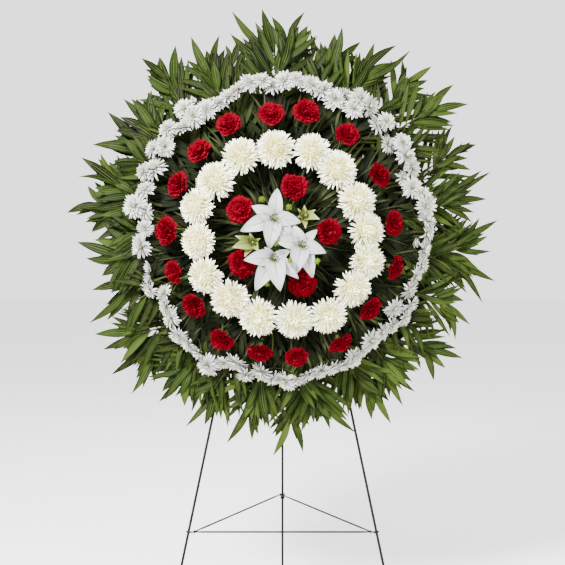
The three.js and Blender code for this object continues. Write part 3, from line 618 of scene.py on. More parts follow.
PALM_A = leaf_material("palm_leaf", (0.0008, 0.0021, 0.0001), (0.0088, 0.0184, 0.0018), (0.048, 0.073, 0.0105), (0.084, 0.114, 0.024), 0.50, count=4.0, vein_and_highlight=0.85, rim_painted_shade=0.97, spec=0.035)
# near-black leaf colour, painted shade, for the filling and cover leaves deep among the flowers
PALM_PAINTED_SHADE = leaf_material("palm_leaf_painted_shade", (0.0010, 0.0021, 0.0003), (0.0028, 0.0052, 0.0004), (0.009, 0.014, 0.0010), (0.022, 0.028, 0.003), 0.62, spec=0.06)
RACHIS = leaf_material("palm_rachis", (0.038, 0.064, 0.003), (0.062, 0.097, 0.005), (0.094, 0.136, 0.010), (0.094, 0.136, 0.010), 0.55, count=3.0, spec=0.1)
STEM = leaf_material("flower_stem", (0.007, 0.0115, 0.002), (0.020, 0.028, 0.005), (0.050, 0.058, 0.014), (0.048, 0.056, 0.014), 0.55, count=3.0, spec=0.1)
# football mum: the dark yellow foot colour is partly the petals' real yellow base and partly painted shade between the
# petals; the white tip is partly the petals' paler tips and partly painted highlight
MUM = petal_material("football_mum_petal", (0.96, 0.94, 0.50), (0.98, 0.97, 0.78), (0.66, 0.62, 0.17), 0.6, count=3.0, base_to=0.72, vein=0.10, tip=((1.0, 0.99, 0.86), 0.9), bump_mm=0.3, soft=0.0, vary=0.28, dim=1.0)
# spray blooms: a greyer white than the football mums' petals, painted shade for the ring of spray blooms
SPRAY_M = petal_material("spray_petal", (0.59, 0.60, 0.44), (0.61, 0.612, 0.60), (0.23, 0.26, 0.10), 0.6, count=3.0, base_to=0.34, vein=0.08, bump_mm=0.25, soft=0.1, vary=0.26)
# carnation: the foot colour darkens the petal feet a little, painted shade deep in the head
CARN = petal_material("carnation_petal", (0.129, 0.0003, 0.0060), (0.130, 0.0004, 0.0066), (0.114, 0.0001, 0.0048), 0.7, count=9.0, base_to=0.80, vein=0.22, tip=((0.118, 0.0003, 0.0056), 0.50), mottle=0.2, bump_mm=0.25, spec=0.012, soft=0.3, vary=0.10)
LILY_M = petal_material("lily_tepal", (0.37, 0.382, 0.368), (0.40, 0.408, 0.41), (0.10, 0.14, 0.022), 0.5, count=4.0, base_to=0.26, vein=0.20, bump_mm=1.2, soft=0.0, rib=((0.12, 0.15, 0.065), 0.8))
LILY_Y = petal_material("lily_half_open_tepal", (0.19, 0.24, 0.035), (0.22, 0.26, 0.06), (0.08, 0.12, 0.010), 0.5, count=5.0, base_to=0.80, vein=0.30, tip=((0.50, 0.52, 0.36), 0.7), bump_mm=0.6)
BUD = petal_material("green_bud", (0.14, 0.24, 0.008), (0.20, 0.30, 0.012), (0.05, 0.10, 0.004), 0.45, count=4.0, base_to=0.5, vein=0.25)
ANTHER = petal_material("anther", (0.050, 0.030, 0.003), (0.090, 0.060, 0.006), (0.030, 0.018, 0.003), 0.8, count=3.0, mottle=0.6)
FILAMENT = petal_material("filament", (0.20, 0.26, 0.06), (0.26, 0.32, 0.09), (0.12, 0.18, 0.03), 0.5)
EYE = petal_material("spray_eye", (0.30, 0.35, 0.05), (0.46, 0.50, 0.16), (0.13, 0.17, 0.02), 0.6, count=4.0, mottle=0.5)


def enamel_material():
    m, nt, b = new_mat("easel_enamel")
    n1, n2 = noise(nt, 900.0, 3.0), noise(nt, 35.0, 4.0)
    col = ramp(nt, n2, [(0.3, (0.0016, 0.0030, 0.0028)), (0.6, (0.0030, 0.0050, 0.0046)), (0.8, (0.0058, 0.0086, 0.0076))])
    worn = math_node(nt, "MULTIPLY", math_node(nt, "SUBTRACT", noise(nt, 120.0, 6.0, 0.7), 0.66, True), 5.0, True)
    col = mix(nt, math_node(nt, "MULTIPLY", worn, 0.5), col, (0.018, 0.019, 0.018))
    nt.links.new(col, b.inputs["Base Color"])
    nt.links.new(math_node(nt, "ADD", 0.34, math_node(nt, "MULTIPLY", n2, 0.25)), b.inputs["Roughness"])
    b.inputs["Specular IOR Level"].default_value = 0.08
    bump(nt, b, n1, 0.35, 0.0002)
    return m


def steel_material():
    m, nt, b = new_mat("pin_steel")
    n1, n2 = noise(nt, 500.0, 3.0, 0.6, (0.1, 1, 1)), noise(nt, 60.0, 4.0)
    nt.links.new(ramp(nt, n2, [(0.3, (0.28, 0.28, 0.27)), (0.7, (0.47, 0.47, 0.46))]), b.inputs["Base Color"])
    b.inputs["Metallic"].default_value = 1.0
    nt.links.new(math_node(nt, "ADD", 0.28, math_node(nt, "MULTIPLY", n1, 0.25)), b.inputs["Roughness"])
    bump(nt, b, n1, 0.4, 0.0001)
    return m


def foam_material():
    m, nt, b = new_mat("floral_foam")
    n1, n2 = noise(nt, 420.0, 5.0, 0.7), noise(nt, 18.0, 3.0)
    both = math_node(nt, "ADD", math_node(nt, "MULTIPLY", n1, 0.6), math_node(nt, "MULTIPLY", n2, 0.4))
    nt.links.new(ramp(nt, both, [(0.3, (0.0016, 0.0036, 0.0008)), (0.5, (0.0044, 0.0088, 0.0018)), (0.7, (0.009, 0.016, 0.0036))]), b.inputs["Base Color"])
    b.inputs["Roughness"].default_value = 0.95
    b.inputs["Specular IOR Level"].default_value = 0.06
    bump(nt, b, n1, 0.9, 0.0012)
    return m


def board_material():
    m, nt, b = new_mat("backing_board")
    n1, n2 = noise(nt, 700.0, 4.0, 0.6), noise(nt, 9.0, 4.0)
    nt.links.new(ramp(nt, n2, [(0.3, (0.0040, 0.0095, 0.0036)), (0.6, (0.0066, 0.0140, 0.0058)), (0.8, (0.012, 0.021, 0.0095))]), b.inputs["Base Color"])
    nt.links.new(math_node(nt, "ADD", 0.5, math_node(nt, "MULTIPLY", n1, 0.25)), b.inputs["Roughness"])
    b.inputs["Specular IOR Level"].default_value = 0.15
    bump(nt, b, n1, 0.4, 0.0003)
    return m


ENAMEL, STEEL, FOAM_MAT, BOARD_MAT = enamel_material(), steel_material(), foam_material(), board_material()


# ---- flower heads, each in its own frame: +z out of the face, widest ring at z = 0 ----
GOLD = 2.399963


def spread(rng, k, lo, hi, power=1.0):
    """k directions over a dome, from polar angle lo to hi degrees, in golden-angle order."""
    x = (np.arange(k) + 0.5) / k
    c0, c1 = math.cos(math.radians(lo)), math.cos(math.radians(hi))
    phi = np.arccos(c0 + (c1 - c0) * x**power)
    az = np.arange(k) * GOLD + rng.normal(0, 0.10, k)
    return phi, az, x


def polar(phi, az):
    return np.stack([np.sin(phi) * np.cos(az), np.sin(phi) * np.sin(az), np.cos(phi)], -1)


Z = np.array([0.0, 0.0, 1.0])


def football_mum(r, seed):
    rng = np.random.default_rng(seed)
    m = Mesh()
    k = 360
    phi, az, x = spread(rng, k, 1, 108, 1.04)
    az = az + rng.normal(0, 0.04, k)
    out = smooth(math.radians(40), math.radians(100), phi)
    d = polar(np.maximum(phi - 0.16 * out, 0.02), az)
    core = polar(phi, az) * (0.38 + 0.02 * out[:, None]) * r + np.array([0, 0, -0.24 * r])
    length = r * (0.43 + 0.21 * out + rng.normal(0, 0.05, k))
    width = r * (0.082 + 0.014 * smooth(0.2, 1.3, phi)) * rng.uniform(0.85, 1.15, k)
    bend = np.radians(52 - 30 * out + rng.normal(0, 20, k))
    shape = lambda t: (0.62 + 0.38 * np.sin(np.pi * np.clip(t * 0.9, 0, 1))) * (1 - smooth(0.80, 1.04, t) * 0.90)
    v, f, uv, per = strips(core, d, Z + 0 * d, length, width, np.zeros(k), bend, shape, 5, 2, cup=rng.uniform(0.5, 1.0, k), power=1.9, sway=rng.normal(0, 0.10, k), twist=rng.normal(0, 0.4, k))
    m.add(v, f, uv, np.repeat(rng.random(k), per), np.repeat(np.clip(phi / math.radians(96), 0, 1) ** 1.3, per), 0)
    # packed heart under the petals, coloured mostly in the petals' dark yellow foot colour, which is partly real yellow
    # and partly painted shade in the gaps between petals
    v, f, uv = revolve([(0.001, -0.46 * r), (0.30 * r, -0.42 * r), (0.46 * r, -0.22 * r), (0.48 * r, -0.08 * r), (0.42 * r, 0.08 * r), (0.28 * r, 0.20 * r), (0.12 * r, 0.255 * r), (0.001, 0.265 * r)], (0, 0, 0), Z, 24)
    m.add(v, f, np.stack([uv[:, 0], 0.18 + 0.1 * uv[:, 1]], -1), 0.5, 0.35, 0)
    # green cup of bracts and the stalk's swollen top
    k = 22
    az = np.arange(k) * TAU / k + rng.normal(0, 0.05, k)
    d = polar(np.full(k, math.radians(98)), az)
    v, f, uv, per = strips(np.tile([[0, 0, -0.50 * r]], (k, 1)) + d * 0.04 * r, d, Z + 0 * d, r * 0.42 * rng.uniform(0.9, 1.1, k), 0.16 * r, 0, math.radians(62), lambda t: np.sin(np.pi * (0.12 + 0.86 * t)) ** 0.7, 4, 2, cup=0.25)
    m.add(v, f, uv, np.repeat(rng.random(k), per), 0.5, 1)
    v, f, uv = revolve([(0.001, -0.62 * r), (0.07 * r, -0.61 * r), (0.1 * r, -0.56 * r), (0.22 * r, -0.50 * r), (0.24 * r, -0.42 * r), (0.001, -0.36 * r)], (0, 0, 0), Z, 14)
    m.add(v, f, uv, 0.5, 0.5, 1)
    return m


def spray_bloom(r, seed, big=True, young=False):
    rng = np.random.default_rng(seed)
    m = Mesh()
    rows = [(24, 1.02, 0, 0.175, -18), (23, 0.96, 11, 0.17, -4), (21, 0.84, 24, 0.16, 12), (17, 0.66, 40, 0.145, 28), (12, 0.45, 56, 0.12, 40)]
    if young:
        rows = [(15, 0.92, 20, 0.23, 20), (14, 0.80, 38, 0.21, 34), (12, 0.62, 54, 0.18, 44), (8, 0.40, 68, 0.15, 50)]
    off = rng.random() * TAU
    for j, (k, ln, el, w, bend) in enumerate(rows):
        az = np.arange(k) * TAU / k + off + j * 0.9 + rng.normal(0, 0.09, k)
        elev = np.radians(el + rng.normal(0, 7, k))
        d = np.stack([np.cos(elev) * np.cos(az), np.cos(elev) * np.sin(az), np.sin(elev)], -1)
        flat = np.stack([np.cos(az), np.sin(az), 0 * az], -1)
        base = flat * (0.10 - 0.012 * j) * r + np.array([0, 0, (-0.16 + 0.03 * j) * r])
        length = r * ln * rng.uniform(0.86, 1.10, k)
        width = r * w * rng.uniform(0.85, 1.15, k)
        b = np.radians(bend + rng.normal(0, 12, k))
        shape = lambda t: (0.42 + 0.58 * np.sin(np.pi * np.clip(0.06 + t * 0.72, 0, 1)) ** 0.8) * (1 - smooth(0.84, 1.03, t) * 0.86)
        v, f, uv, per = strips(base, d, Z + 0 * d, length, width, np.zeros(k), b, shape, 5, 2, cup=rng.uniform(0.1, 0.5, k), sway=rng.normal(0, 0.07, k), twist=rng.normal(0, 0.3, k), fan=0.02)
        m.add(v, f, uv, np.repeat(rng.random(k), per), np.repeat(np.full(k, 1.0 - 0.2 * j), per), 0)
    # eye of tight greenish florets
    k = 15
    phi, az, x = spread(rng, k, 4, 68)
    d = polar(phi, az)
    v, f, uv, per = strips(d * 0.07 * r + np.array([0, 0, -0.06 * r]), d, Z + 0 * d, 0.17 * r * rng.uniform(0.8, 1.2, k), 0.085 * r, 0, math.radians(50), lambda t: 1 - 0.7 * smooth(0.6, 1.02, t), 3, 2, cup=0.8)
    m.add(v, f, uv, np.repeat(rng.random(k), per), np.repeat(x, per), 2)
    # bracts under the head
    k = 10
    az = np.arange(k) * TAU / k
    d = polar(np.full(k, math.radians(100)), az)
    v, f, uv, per = strips(np.tile([[0, 0, -0.34 * r]], (k, 1)) + d * 0.03 * r, d, Z + 0 * d, r * 0.34, 0.22 * r, 0, math.radians(72), lambda t: np.sin(np.pi * (0.14 + 0.84 * t)) ** 0.7, 3, 2, cup=0.2)
    m.add(v, f, uv, np.repeat(rng.random(k), per), 0.5, 1)
    return m


def carnation(r, seed):
    rng = np.random.default_rng(seed)
    m = Mesh()
    r = 0.80 * r
    k = 36
    phi, az, x = spread(rng, k, 34, 94, 1.0)
    d = polar(phi * 0.60, az)
    foot = np.stack([np.cos(az), np.sin(az), 0 * az], -1) * 0.07 * r + np.array([0, 0, -0.62 * r])
    reach = 1.0 - 0.42 * (1 - np.sin(np.minimum(phi, 1.57)))
    length = r * (0.32 + 1.0 * reach) * rng.uniform(0.94, 1.06, k)
    bend = -np.radians(10 + 42 * smooth(0.6, 1.5, phi)) * rng.uniform(0.8, 1.2, k)
    width = r * (0.80 + 0.20 * x) * rng.uniform(0.9, 1.15, k)
    shape = lambda t: 0.14 + 0.86 * smooth(0.30, 1.0, t) ** 0.9
    amp = r * rng.uniform(0.052, 0.088, k)
    v, f, uv, per = strips(foot, d, Z + 0 * d, length, width, 0, bend, shape, 7, 14, cup=rng.uniform(-0.05, 0.25, k), power=1.7, fan=0.14, ruffle=(amp, rng.uniform(2.2, 3.6, k), rng.uniform(0, TAU, k)), serr=0.022, twist=rng.normal(0, 0.35, k), sway=rng.normal(0, 0.05, k))
    m.add(v, f, uv, np.repeat(rng.random(k), per), np.repeat(0.4 + 0.6 * x, per), 0)
    # heart: smaller petals that fold over at the top, so that their frilled edges fill the middle
    k = 30
    phi, az, x = spread(rng, k, 4, 60, 1.0)
    base = polar(phi, az) * np.array([0.36, 0.36, 0.20]) * r + np.array([0, 0, 0.04 * r])
    d = polar(phi * 0.55, az)
    up = polar(np.full(k, math.pi / 2), az + rng.normal(0, 1.2, k))
    length = r * rng.uniform(0.34, 0.46, k)
    v, f, uv, per = strips(base, d, up, length, r * rng.uniform(0.42, 0.62, k), 0, np.radians(rng.uniform(35, 95, k)), lambda t: 0.35 + 0.65 * smooth(0.0, 0.9, t), 4, 12, cup=rng.uniform(-0.3, 0.3, k), power=1.6, fan=0.12, ruffle=(r * rng.uniform(0.05, 0.09, k), rng.uniform(2.0, 3.4, k), rng.uniform(0, TAU, k)), serr=0.05, twist=rng.normal(0, 0.5, k))
    m.add(v, f, np.stack([uv[:, 0], 0.35 + 0.65 * uv[:, 1]], -1), np.repeat(rng.random(k), per), np.repeat(0.4 * x, per), 0)
    v, f, uv = revolve([(0.001, -0.58 * r), (0.34 * r, -0.40 * r), (0.52 * r, -0.10 * r), (0.46 * r, 0.12 * r), (0.28 * r, 0.26 * r), (0.001, 0.32 * r)], (0, 0, 0), Z, 20)
    m.add(v, f, np.stack([uv[:, 0] * 3 % 1, 0.55 + 0 * uv[:, 1]], -1), 0.5, 0.2, 0)
    # calyx: a green tube that opens in five teeth
    v, f, uv = revolve([(0.001, -1.20 * r), (0.075 * r, -1.18 * r), (0.10 * r, -1.12 * r), (0.19 * r, -1.02 * r), (0.225 * r, -0.80 * r), (0.235 * r, -0.60 * r), (0.225 * r, -0.59 * r), (0.16 * r, -0.62 * r), (0.001, -0.64 * r)], (0, 0, 0), Z, 16)
    m.add(v, f, uv, 0.45, 0.5, 1)
    az = np.arange(5) * TAU / 5
    d = polar(np.full(5, math.radians(14)), az)
    v, f, uv, per = strips(np.stack([np.cos(az), np.sin(az), 0 * az], -1) * 0.235 * r + np.array([0, 0, -0.62 * r]), d, -polar(np.full(5, math.pi / 2), az), 0.24 * r, 0.26 * r, 0, math.radians(-30), lambda t: 1 - 0.9 * t, 3, 2, cup=0.3)
    m.add(v, f, uv, 0.5, 0.5, 1)
    return m


def stalk(m, head_back, axis_at, end, r, mat=1, bend=0.35, leaves=0, rng=None):
    """Stem from the back of a head down to its hole in the foam, in wreath coordinates."""
    a, b = np.asarray(head_back, float), np.asarray(end, float)
    mid1 = a - np.asarray(axis_at) * np.linalg.norm(a - b) * bend
    mid2 = b + (mid1 - b) * 0.55
    p = curve([a, (a + mid1) / 2 * 0.5 + a * 0.5, mid2, b], 12)
    v, f, uv = tube(p, np.linspace(r, r * 1.05, 12), 8)
    m.add(v, f, uv, 0.5, 0.5, mat)


def foam_entry(u, v, entry_r):
    far = math.hypot(u, v)
    return np.array([u / far * entry_r, v / far * entry_r, 58.0])


def place_single(kind, name, row, r, back, entry_r, stem_r, seed, mats, slot):
    u, v, n, a, b, c = row[:6]
    axis = unit(np.array([a, b, c]))
    at = np.array([u, v, n])
    rng = np.random.default_rng(seed + 7)
    m = Mesh()
    m.join(kind(r, seed), to_axis(at, axis, rng.random() * TAU))
    neck = at + axis * back * r
    entry = foam_entry(u, v, entry_r)
    down = unit(entry - neck)
    end = entry + down * (19.0 / -down[2])
    hub = Mesh()
    p = curve([neck + axis * 1.5, neck * 0.93 + entry * 0.07 - axis * 2, neck * 0.5 + entry * 0.5, entry, end], 16)
    vv, ff, uv = tube(p, stem_r, 9)
    m.add(vv, ff, uv, 0.5, 0.5, 1)
    m.make(f"{name}_flower", mats, wreath_to_world, "frame", name, slot)


for i, row in enumerate(CARNATIONS):
    inner = i >= 17
    place_single(carnation, f"carnation_{i + 1:02d}", row, row[6], -1.16, math.hypot(row[0], row[1]) - (6 if inner else 38), 2.2, 100 + i, [CARN, STEM], "carnation_red")

mum_at = np.array([m[:3] for m in MUMS])
for i, row in enumerate(MUMS):
    place_single(football_mum, f"football_mum_{i + 1:02d}", row, row[6], -0.6, math.hypot(row[0], row[1]) - 4, 2.8, 200 + i, [MUM, STEM], "mum_cream")

# ---- white spray blooms, by the six garland arcs of the frame ----
spray = [(math.atan2(s[1], s[0]) % TAU, i, s) for i, s in enumerate(SPRAY)]
ARCS = 6
for k in range(ARCS):
    a0, a1 = k / ARCS * TAU, (k + 1) / ARCS * TAU
    rng = np.random.default_rng(400 + k)
    m = Mesh()
    rows = [s for s in spray if a0 <= s[0] < a1]
    forks = []
    for f in (0.18, 0.5, 0.82):
        a = a0 + (a1 - a0) * f
        near = [s[2] for s in rows if abs(s[0] - a) < 0.3] or [s[2] for s in rows]
        rr = float(np.mean([math.hypot(s[0], s[1]) for s in near]))
        end = np.array([266 * math.cos(a), 266 * math.sin(a), 40.0])
        top = np.array([(rr - 26) * math.cos(a), (rr - 26) * math.sin(a), 78.0])
        forks.append((a, top))
        p = curve([end, end * 0.6 + top * 0.4 + np.array([0, 0, -2.0]), top], 12)
        v, f2, uv = tube(p, 2.0, 8)
        m.add(v, f2, uv, 0.4, 0.5, 1)
    for a, i, s in rows:
        at, axis = np.array(s[:3]), unit(np.array(s[3:6]))
        at = at + np.array([0, 0, float(rng.uniform(-3, 4))])
        axis = unit(axis + rng.normal(0, 0.24, 3))
        small = s[6] < 19
        m.join(spray_bloom(s[6] * 1.04, 500 + i, young=small), to_axis(at, axis, rng.random() * TAU))
        fork = min(forks, key=lambda q: abs(q[0] - a))[1]
        back = at - axis * 0.36 * s[6]
        p = curve([fork, fork * 0.5 + back * 0.5 - axis * 5 - np.array([0, 0, 3.0]), back], 9)
        v, f2, uv = tube(p, 1.1, 6)
        m.add(v, f2, uv, float(rng.random()), 0.5, 1)
    m.make(f"spray_mums_{k + 1}_blooms", [SPRAY_M, STEM, EYE], wreath_to_world, "frame", f"spray_mums_{k + 1}", "spray_white")


# ---- lily stem ----
def lily(throat, tips, rise, seed, mat_body, open_deg=(74, -26), narrow=1.0, name="lily", stamens=True, tilt=None, front=0):
    """Six tepals from the throat to the given tips, u, v, n; three broad inner ones and three narrow outer ones."""
    rng = np.random.default_rng(seed)
    m = Mesh()
    c = np.asarray(throat, float)
    face = unit(np.asarray(tilt if tilt is not None else (0, 0, 1), float))
    order = sorted(tips, key=lambda p: math.atan2(p[1] - c[1], p[0] - c[0]))
    tt = np.linspace(0, 1, 60)
    for j, p in enumerate(order):
        flat = np.array([p[0] - c[0], p[1] - c[1], 0.0])
        reach = np.linalg.norm(flat)
        broad = (j + front) % 2 == 0
        th0, th1 = math.radians(open_deg[0] + rng.normal(0, 2)), math.radians(open_deg[1] - (10 if broad else 22) + rng.normal(0, 6))
        th = th0 + (th1 - th0) * tt**0.8
        length = reach / np.mean(np.cos(th))
        width = narrow * length * (0.50 if broad else 0.41)
        if broad:
            shape = lambda t: np.interp(t, [0, 0.12, 0.26, 0.40, 0.54, 0.68, 0.80, 0.90, 0.96, 1], [0.36, 0.62, 0.90, 1.0, 0.92, 0.70, 0.45, 0.24, 0.12, 0.02])
        else:
            shape = lambda t: np.interp(t, [0, 0.12, 0.26, 0.40, 0.54, 0.68, 0.80, 0.90, 0.96, 1], [0.42, 0.66, 0.91, 1.0, 0.90, 0.66, 0.42, 0.22, 0.11, 0.02])
        d = unit(flat)[None]
        foot = (c + unit(flat) * (2.2 if broad else 3.2) + np.array([0, 0, 0 if broad else -1.5]))[None]
        groove = lambda s: -0.13 * np.exp(-((s / 0.13) ** 2)) - 0.05 * np.exp(-(((np.abs(s) - 0.5) / 0.10) ** 2)) + 0.04
        amp = np.array([width * (0.022 if broad else 0.015)])
        v, f, uv, per = strips(foot, d, np.array([[0, 0, 1.0]]), length, width, th0, th1, shape, 22, 12, cup=0.42 if broad else 0.34, power=0.9, ruffle=(amp, np.array([2.2 + rng.random()]), np.array([rng.random() * TAU])), ridge=groove, sway=rng.normal(0, 0.03), twist=rng.normal(0, 0.12))
        m.add(v, f, uv, float(rng.random()), 0.3 + 0.6 * broad, 0)
        # underside, so that the tepal has a thickness that thins out at its edge
        v2 = v.reshape(-1, 3).copy()
        s = uv[:, 0] * 2 - 1
        nrm = np.cross(np.gradient(v.reshape(23, 13, 3), axis=0), np.gradient(v.reshape(23, 13, 3), axis=1)).reshape(-1, 3)
        nrm = unit(nrm)
        sign = -1.0 if (nrm[:, 2].mean() > 0) else 1.0
        v2 += sign * nrm * (0.9 * (1 - s**2) * (1 - 0.6 * uv[:, 1]) + 0.03)[:, None]
        m.add(v2, f[:, ::-1], uv, 0.5, 0.3 + 0.6 * broad, 0)
    if stamens:
        k = 6
        az = np.arange(k) * TAU / k + rng.random()
        for a in az:
            out_r = rng.uniform(6.0, 10.5)
            tip = c + np.array([math.cos(a) * out_r, math.sin(a) * out_r, rise * rng.uniform(0.8, 1.0)])
            p = curve([c + np.array([math.cos(a), math.sin(a), 2]), c + np.array([math.cos(a) * 3.2, math.sin(a) * 3.2, rise * 0.55]), tip], 9)
            v, f, uv = tube(p, np.linspace(0.9, 0.55, 9), 7)
            m.add(v, f, uv, 0.5, 0.5, 2)
            b2 = a + rng.normal(0.5, 0.5)
            across = 0.8 * np.array([-math.sin(b2), math.cos(b2), rng.normal(0, 0.3)])
            q = curve([tip - across * 5, tip + np.array([0, 0, 1.0]), tip + across * 5], 8)
            v, f, uv = tube(q, 1.7 * np.sin(np.linspace(0.35, math.pi - 0.35, 8)), 8)
            m.add(v, f, uv, float(rng.random()), 0.5, 1)
        top = c + np.array([2.0, -2.0, rise * 1.2])
        v, f, uv = tube(curve([c, (c + top) / 2, top], 8), 1.25, 8)
        m.add(v, f, uv, 0.5, 0.5, 2)
        for a in (0, TAU / 3, 2 * TAU / 3):
            q = top + np.array([math.cos(a) * 1.6, math.sin(a) * 1.6, 0.8])
            v, f, uv = tube(np.array([q - [0, 0, 1.2], q, q + [0, 0, 1.0]]), [1.3, 1.8, 1.2], 8)
            m.add(v, f, uv, 0.6, 0.5, 2)
    turned = None
    if tilt is not None:
        z = face
        x = unit(np.cross(np.array([0.0, 1.0, 0.0]), z))
        y = np.cross(z, x)
        turned = lambda q: c + (q - c)[:, :1] * x + (q - c)[:, 1:2] * y + (q - c)[:, 2:3] * z
    if turned:
        out = Mesh()
        out.join(m, turned)
        m = out
    return m


LILY_ROWS = [
    ("lily_bloom_a", (-21.0, 26.4, 142.0), [(-8.6, 101.4), (-72.4, 61.2), (-101.4, -6.1), (-30.4, -50.7), (30.5, -35.8), (45.3, 16.3)], 34.0, 901),
    ("lily_bloom_b", (48.0, -41.2, 150.0), [(28.1, 8.8), (84.3, -3.6), (105.9, -60.5), (74.0, -119.5), (30.3, -117.0), (-20.7, -28.4)], 32.0, 902),
    ("lily_bloom_c", (-20.9, -76.1, 158.0), [(-42.6, -48.2), (-93.6, -77.8), (-66.5, -151.2), (-6.0, -158.5), (37.6, -124.4), (18.3, -55.6)], 30.0, 903),
]
FORK = np.array([4.0, -22.0, 96.0])
for name, c, tips, rise, seed in LILY_ROWS:
    m = lily(c, tips, rise, seed, LILY_M, front=1 if name == "lily_bloom_a" else 0)
    foot = np.array(c)
    v, f, uv = revolve([(0.001, -9), (2.2, -8.4), (3.4, -5), (4.4, -1), (4.6, 3), (0.001, 5)], foot, Z, 12)
    m.add(v, f, uv, 0.5, 0.5, 3)
    p = curve([FORK, FORK * 0.4 + foot * 0.6 - np.array([0, 0, 12.0]), foot - np.array([0, 0, 7.0])], 10)
    v, f, uv = tube(p, 2.1, 9)
    m.add(v, f, uv, 0.6, 0.5, 3)
    m.make(name, [LILY_M, ANTHER, FILAMENT, STEM], wreath_to_world, "frame", "lily_stem", "lily_white")

for name, c, tips, seed, tilt in (
    ("lily_half_open_d", (-72, -31, 138.0), [(-112, -18), (-117, -48), (-92, -66), (-56, -55), (-55, -23), (-78, -10)], 911, (-0.10, -0.06, 1)),
    ("lily_half_open_e", (52, 34, 138.0), [(51, 57), (78, 46), (86, 19), (53, 0), (36, 27), (38, 49)], 912, (0.10, 0.06, 1)),
):
    m = lily(c, tips, 26.0, seed, LILY_Y, open_deg=(80, 34), narrow=0.98, tilt=tilt)
    foot = np.array(c, float)
    p = curve([FORK, FORK * 0.4 + foot * 0.6 - np.array([0, 0, 12.0]), foot - np.array([0, 0, 1.0])], 10)
    v, f, uv = tube(p, 1.9, 9)
    m.add(v, f, uv, 0.6, 0.5, 3)
    m.make(name, [LILY_Y, ANTHER, FILAMENT, STEM], wreath_to_world, "frame", "lily_stem", "lily_white")

m = Mesh()
v, f, uv = tube(curve([(5, -20, 38.5), (5, -20, 60), (4.4, -21.4, 80), tuple(FORK)], 14), 3.9, 12)
m.add(v, f, uv, 0.6, 0.5, 1)
for i, (u, w, n) in enumerate([(-50.5, 70.2, 178), (16.0, 50.1, 180), (-15.9, -44.6, 206), (-37.6, -138.1, 178), (84.1, -84.1, 178), (18.3, -86.5, 204)]):
    rng = np.random.default_rng(930 + i)
    at = np.array([u, w, float(n)])
    axis = unit(unit(at - FORK) + np.array([0, 0, 1.1]) + rng.normal(0, 0.12, 3))
    k = 6
    az = np.arange(k) * TAU / k + rng.random()
    d = polar(np.full(k, math.radians(40)), az)
    b = Mesh()
    v, f, uv, per = strips(np.tile([[0, 0, -11.0]], (k, 1)), d, Z + 0 * d, np.where(np.arange(k) % 2, 23.0, 25.0), np.where(np.arange(k) % 2, 12.5, 10.5), 0, math.radians(64), lambda t: np.sin(np.pi * (0.08 + 0.84 * t)) ** 0.75, 10, 6, cup=-0.38, power=0.75)
    b.add(v, f, uv, np.repeat(rng.random(k), per), 0.5, 0)
    m.join(b, to_axis(at, axis, rng.random()))
    foot = at - axis * 10
    v, f, uv = tube(curve([FORK, FORK * 0.45 + foot * 0.55 - np.array([0, 0, 10.0]), foot], 12), 1.5, 8)
    m.add(v, f, uv, 0.6, 0.5, 1)
m.make("lily_stem_and_buds", [BUD, STEM], wreath_to_world, "frame", "lily_stem", "lily_white")


# ---- palm fronds ----
def leaflets(m, base, tips, width, rng, mat=0, lift=None, nv=10, shade=None):
    """Ribbed lance-shaped leaflets from base points to tip points, bowed a little towards the front."""
    base, tips = np.asarray(base, float), np.asarray(tips, float)
    k = len(base)
    span = tips - base
    length = np.linalg.norm(span, axis=1)
    d = span / length[:, None]
    front = np.tile([[0.0, 0.0, 1.0]], (k, 1)) + rng.normal(0, 0.20, (k, 3))
    bow = rng.normal(0.12, 0.10, k) if lift is None else lift
    bow = np.clip(bow, -0.35, 0.5)
    # a bowed leaf starts lifted off its chord by the angle that it later comes back
    shape = lambda t: np.interp(t, [0, 0.06, 0.16, 0.28, 0.40, 0.52, 0.64, 0.76, 0.86, 0.94, 1], [0.06, 0.20, 0.50, 0.80, 0.96, 1.0, 0.92, 0.70, 0.43, 0.17, 0.012])
    ridge = lambda s: 0.24 * np.abs(s) + 0.02 * np.cos(9 * s)
    v, f, uv, per = strips(base, d, front, length * (1 + bow**2 / 6), width, bow, -bow, shape, nv, 4, power=1.0, ridge=ridge, twist=rng.normal(0, 0.28, k), sway=0.0)
    # in-plane sweep
    t = uv[:, 1]
    sw = np.repeat(rng.normal(0, 0.05, k) * length, per)
    side = np.repeat(np.cross(d, unit(front)), per, axis=0)
    v = v + side * (sw * np.sin(np.pi * t))[:, None]
    r = rng.random(k) if shade is None else np.clip(shade + rng.normal(0, 0.25, k), 0, 0.74)
    m.add(v, f, uv, np.repeat(r, per), 0.5, mat)


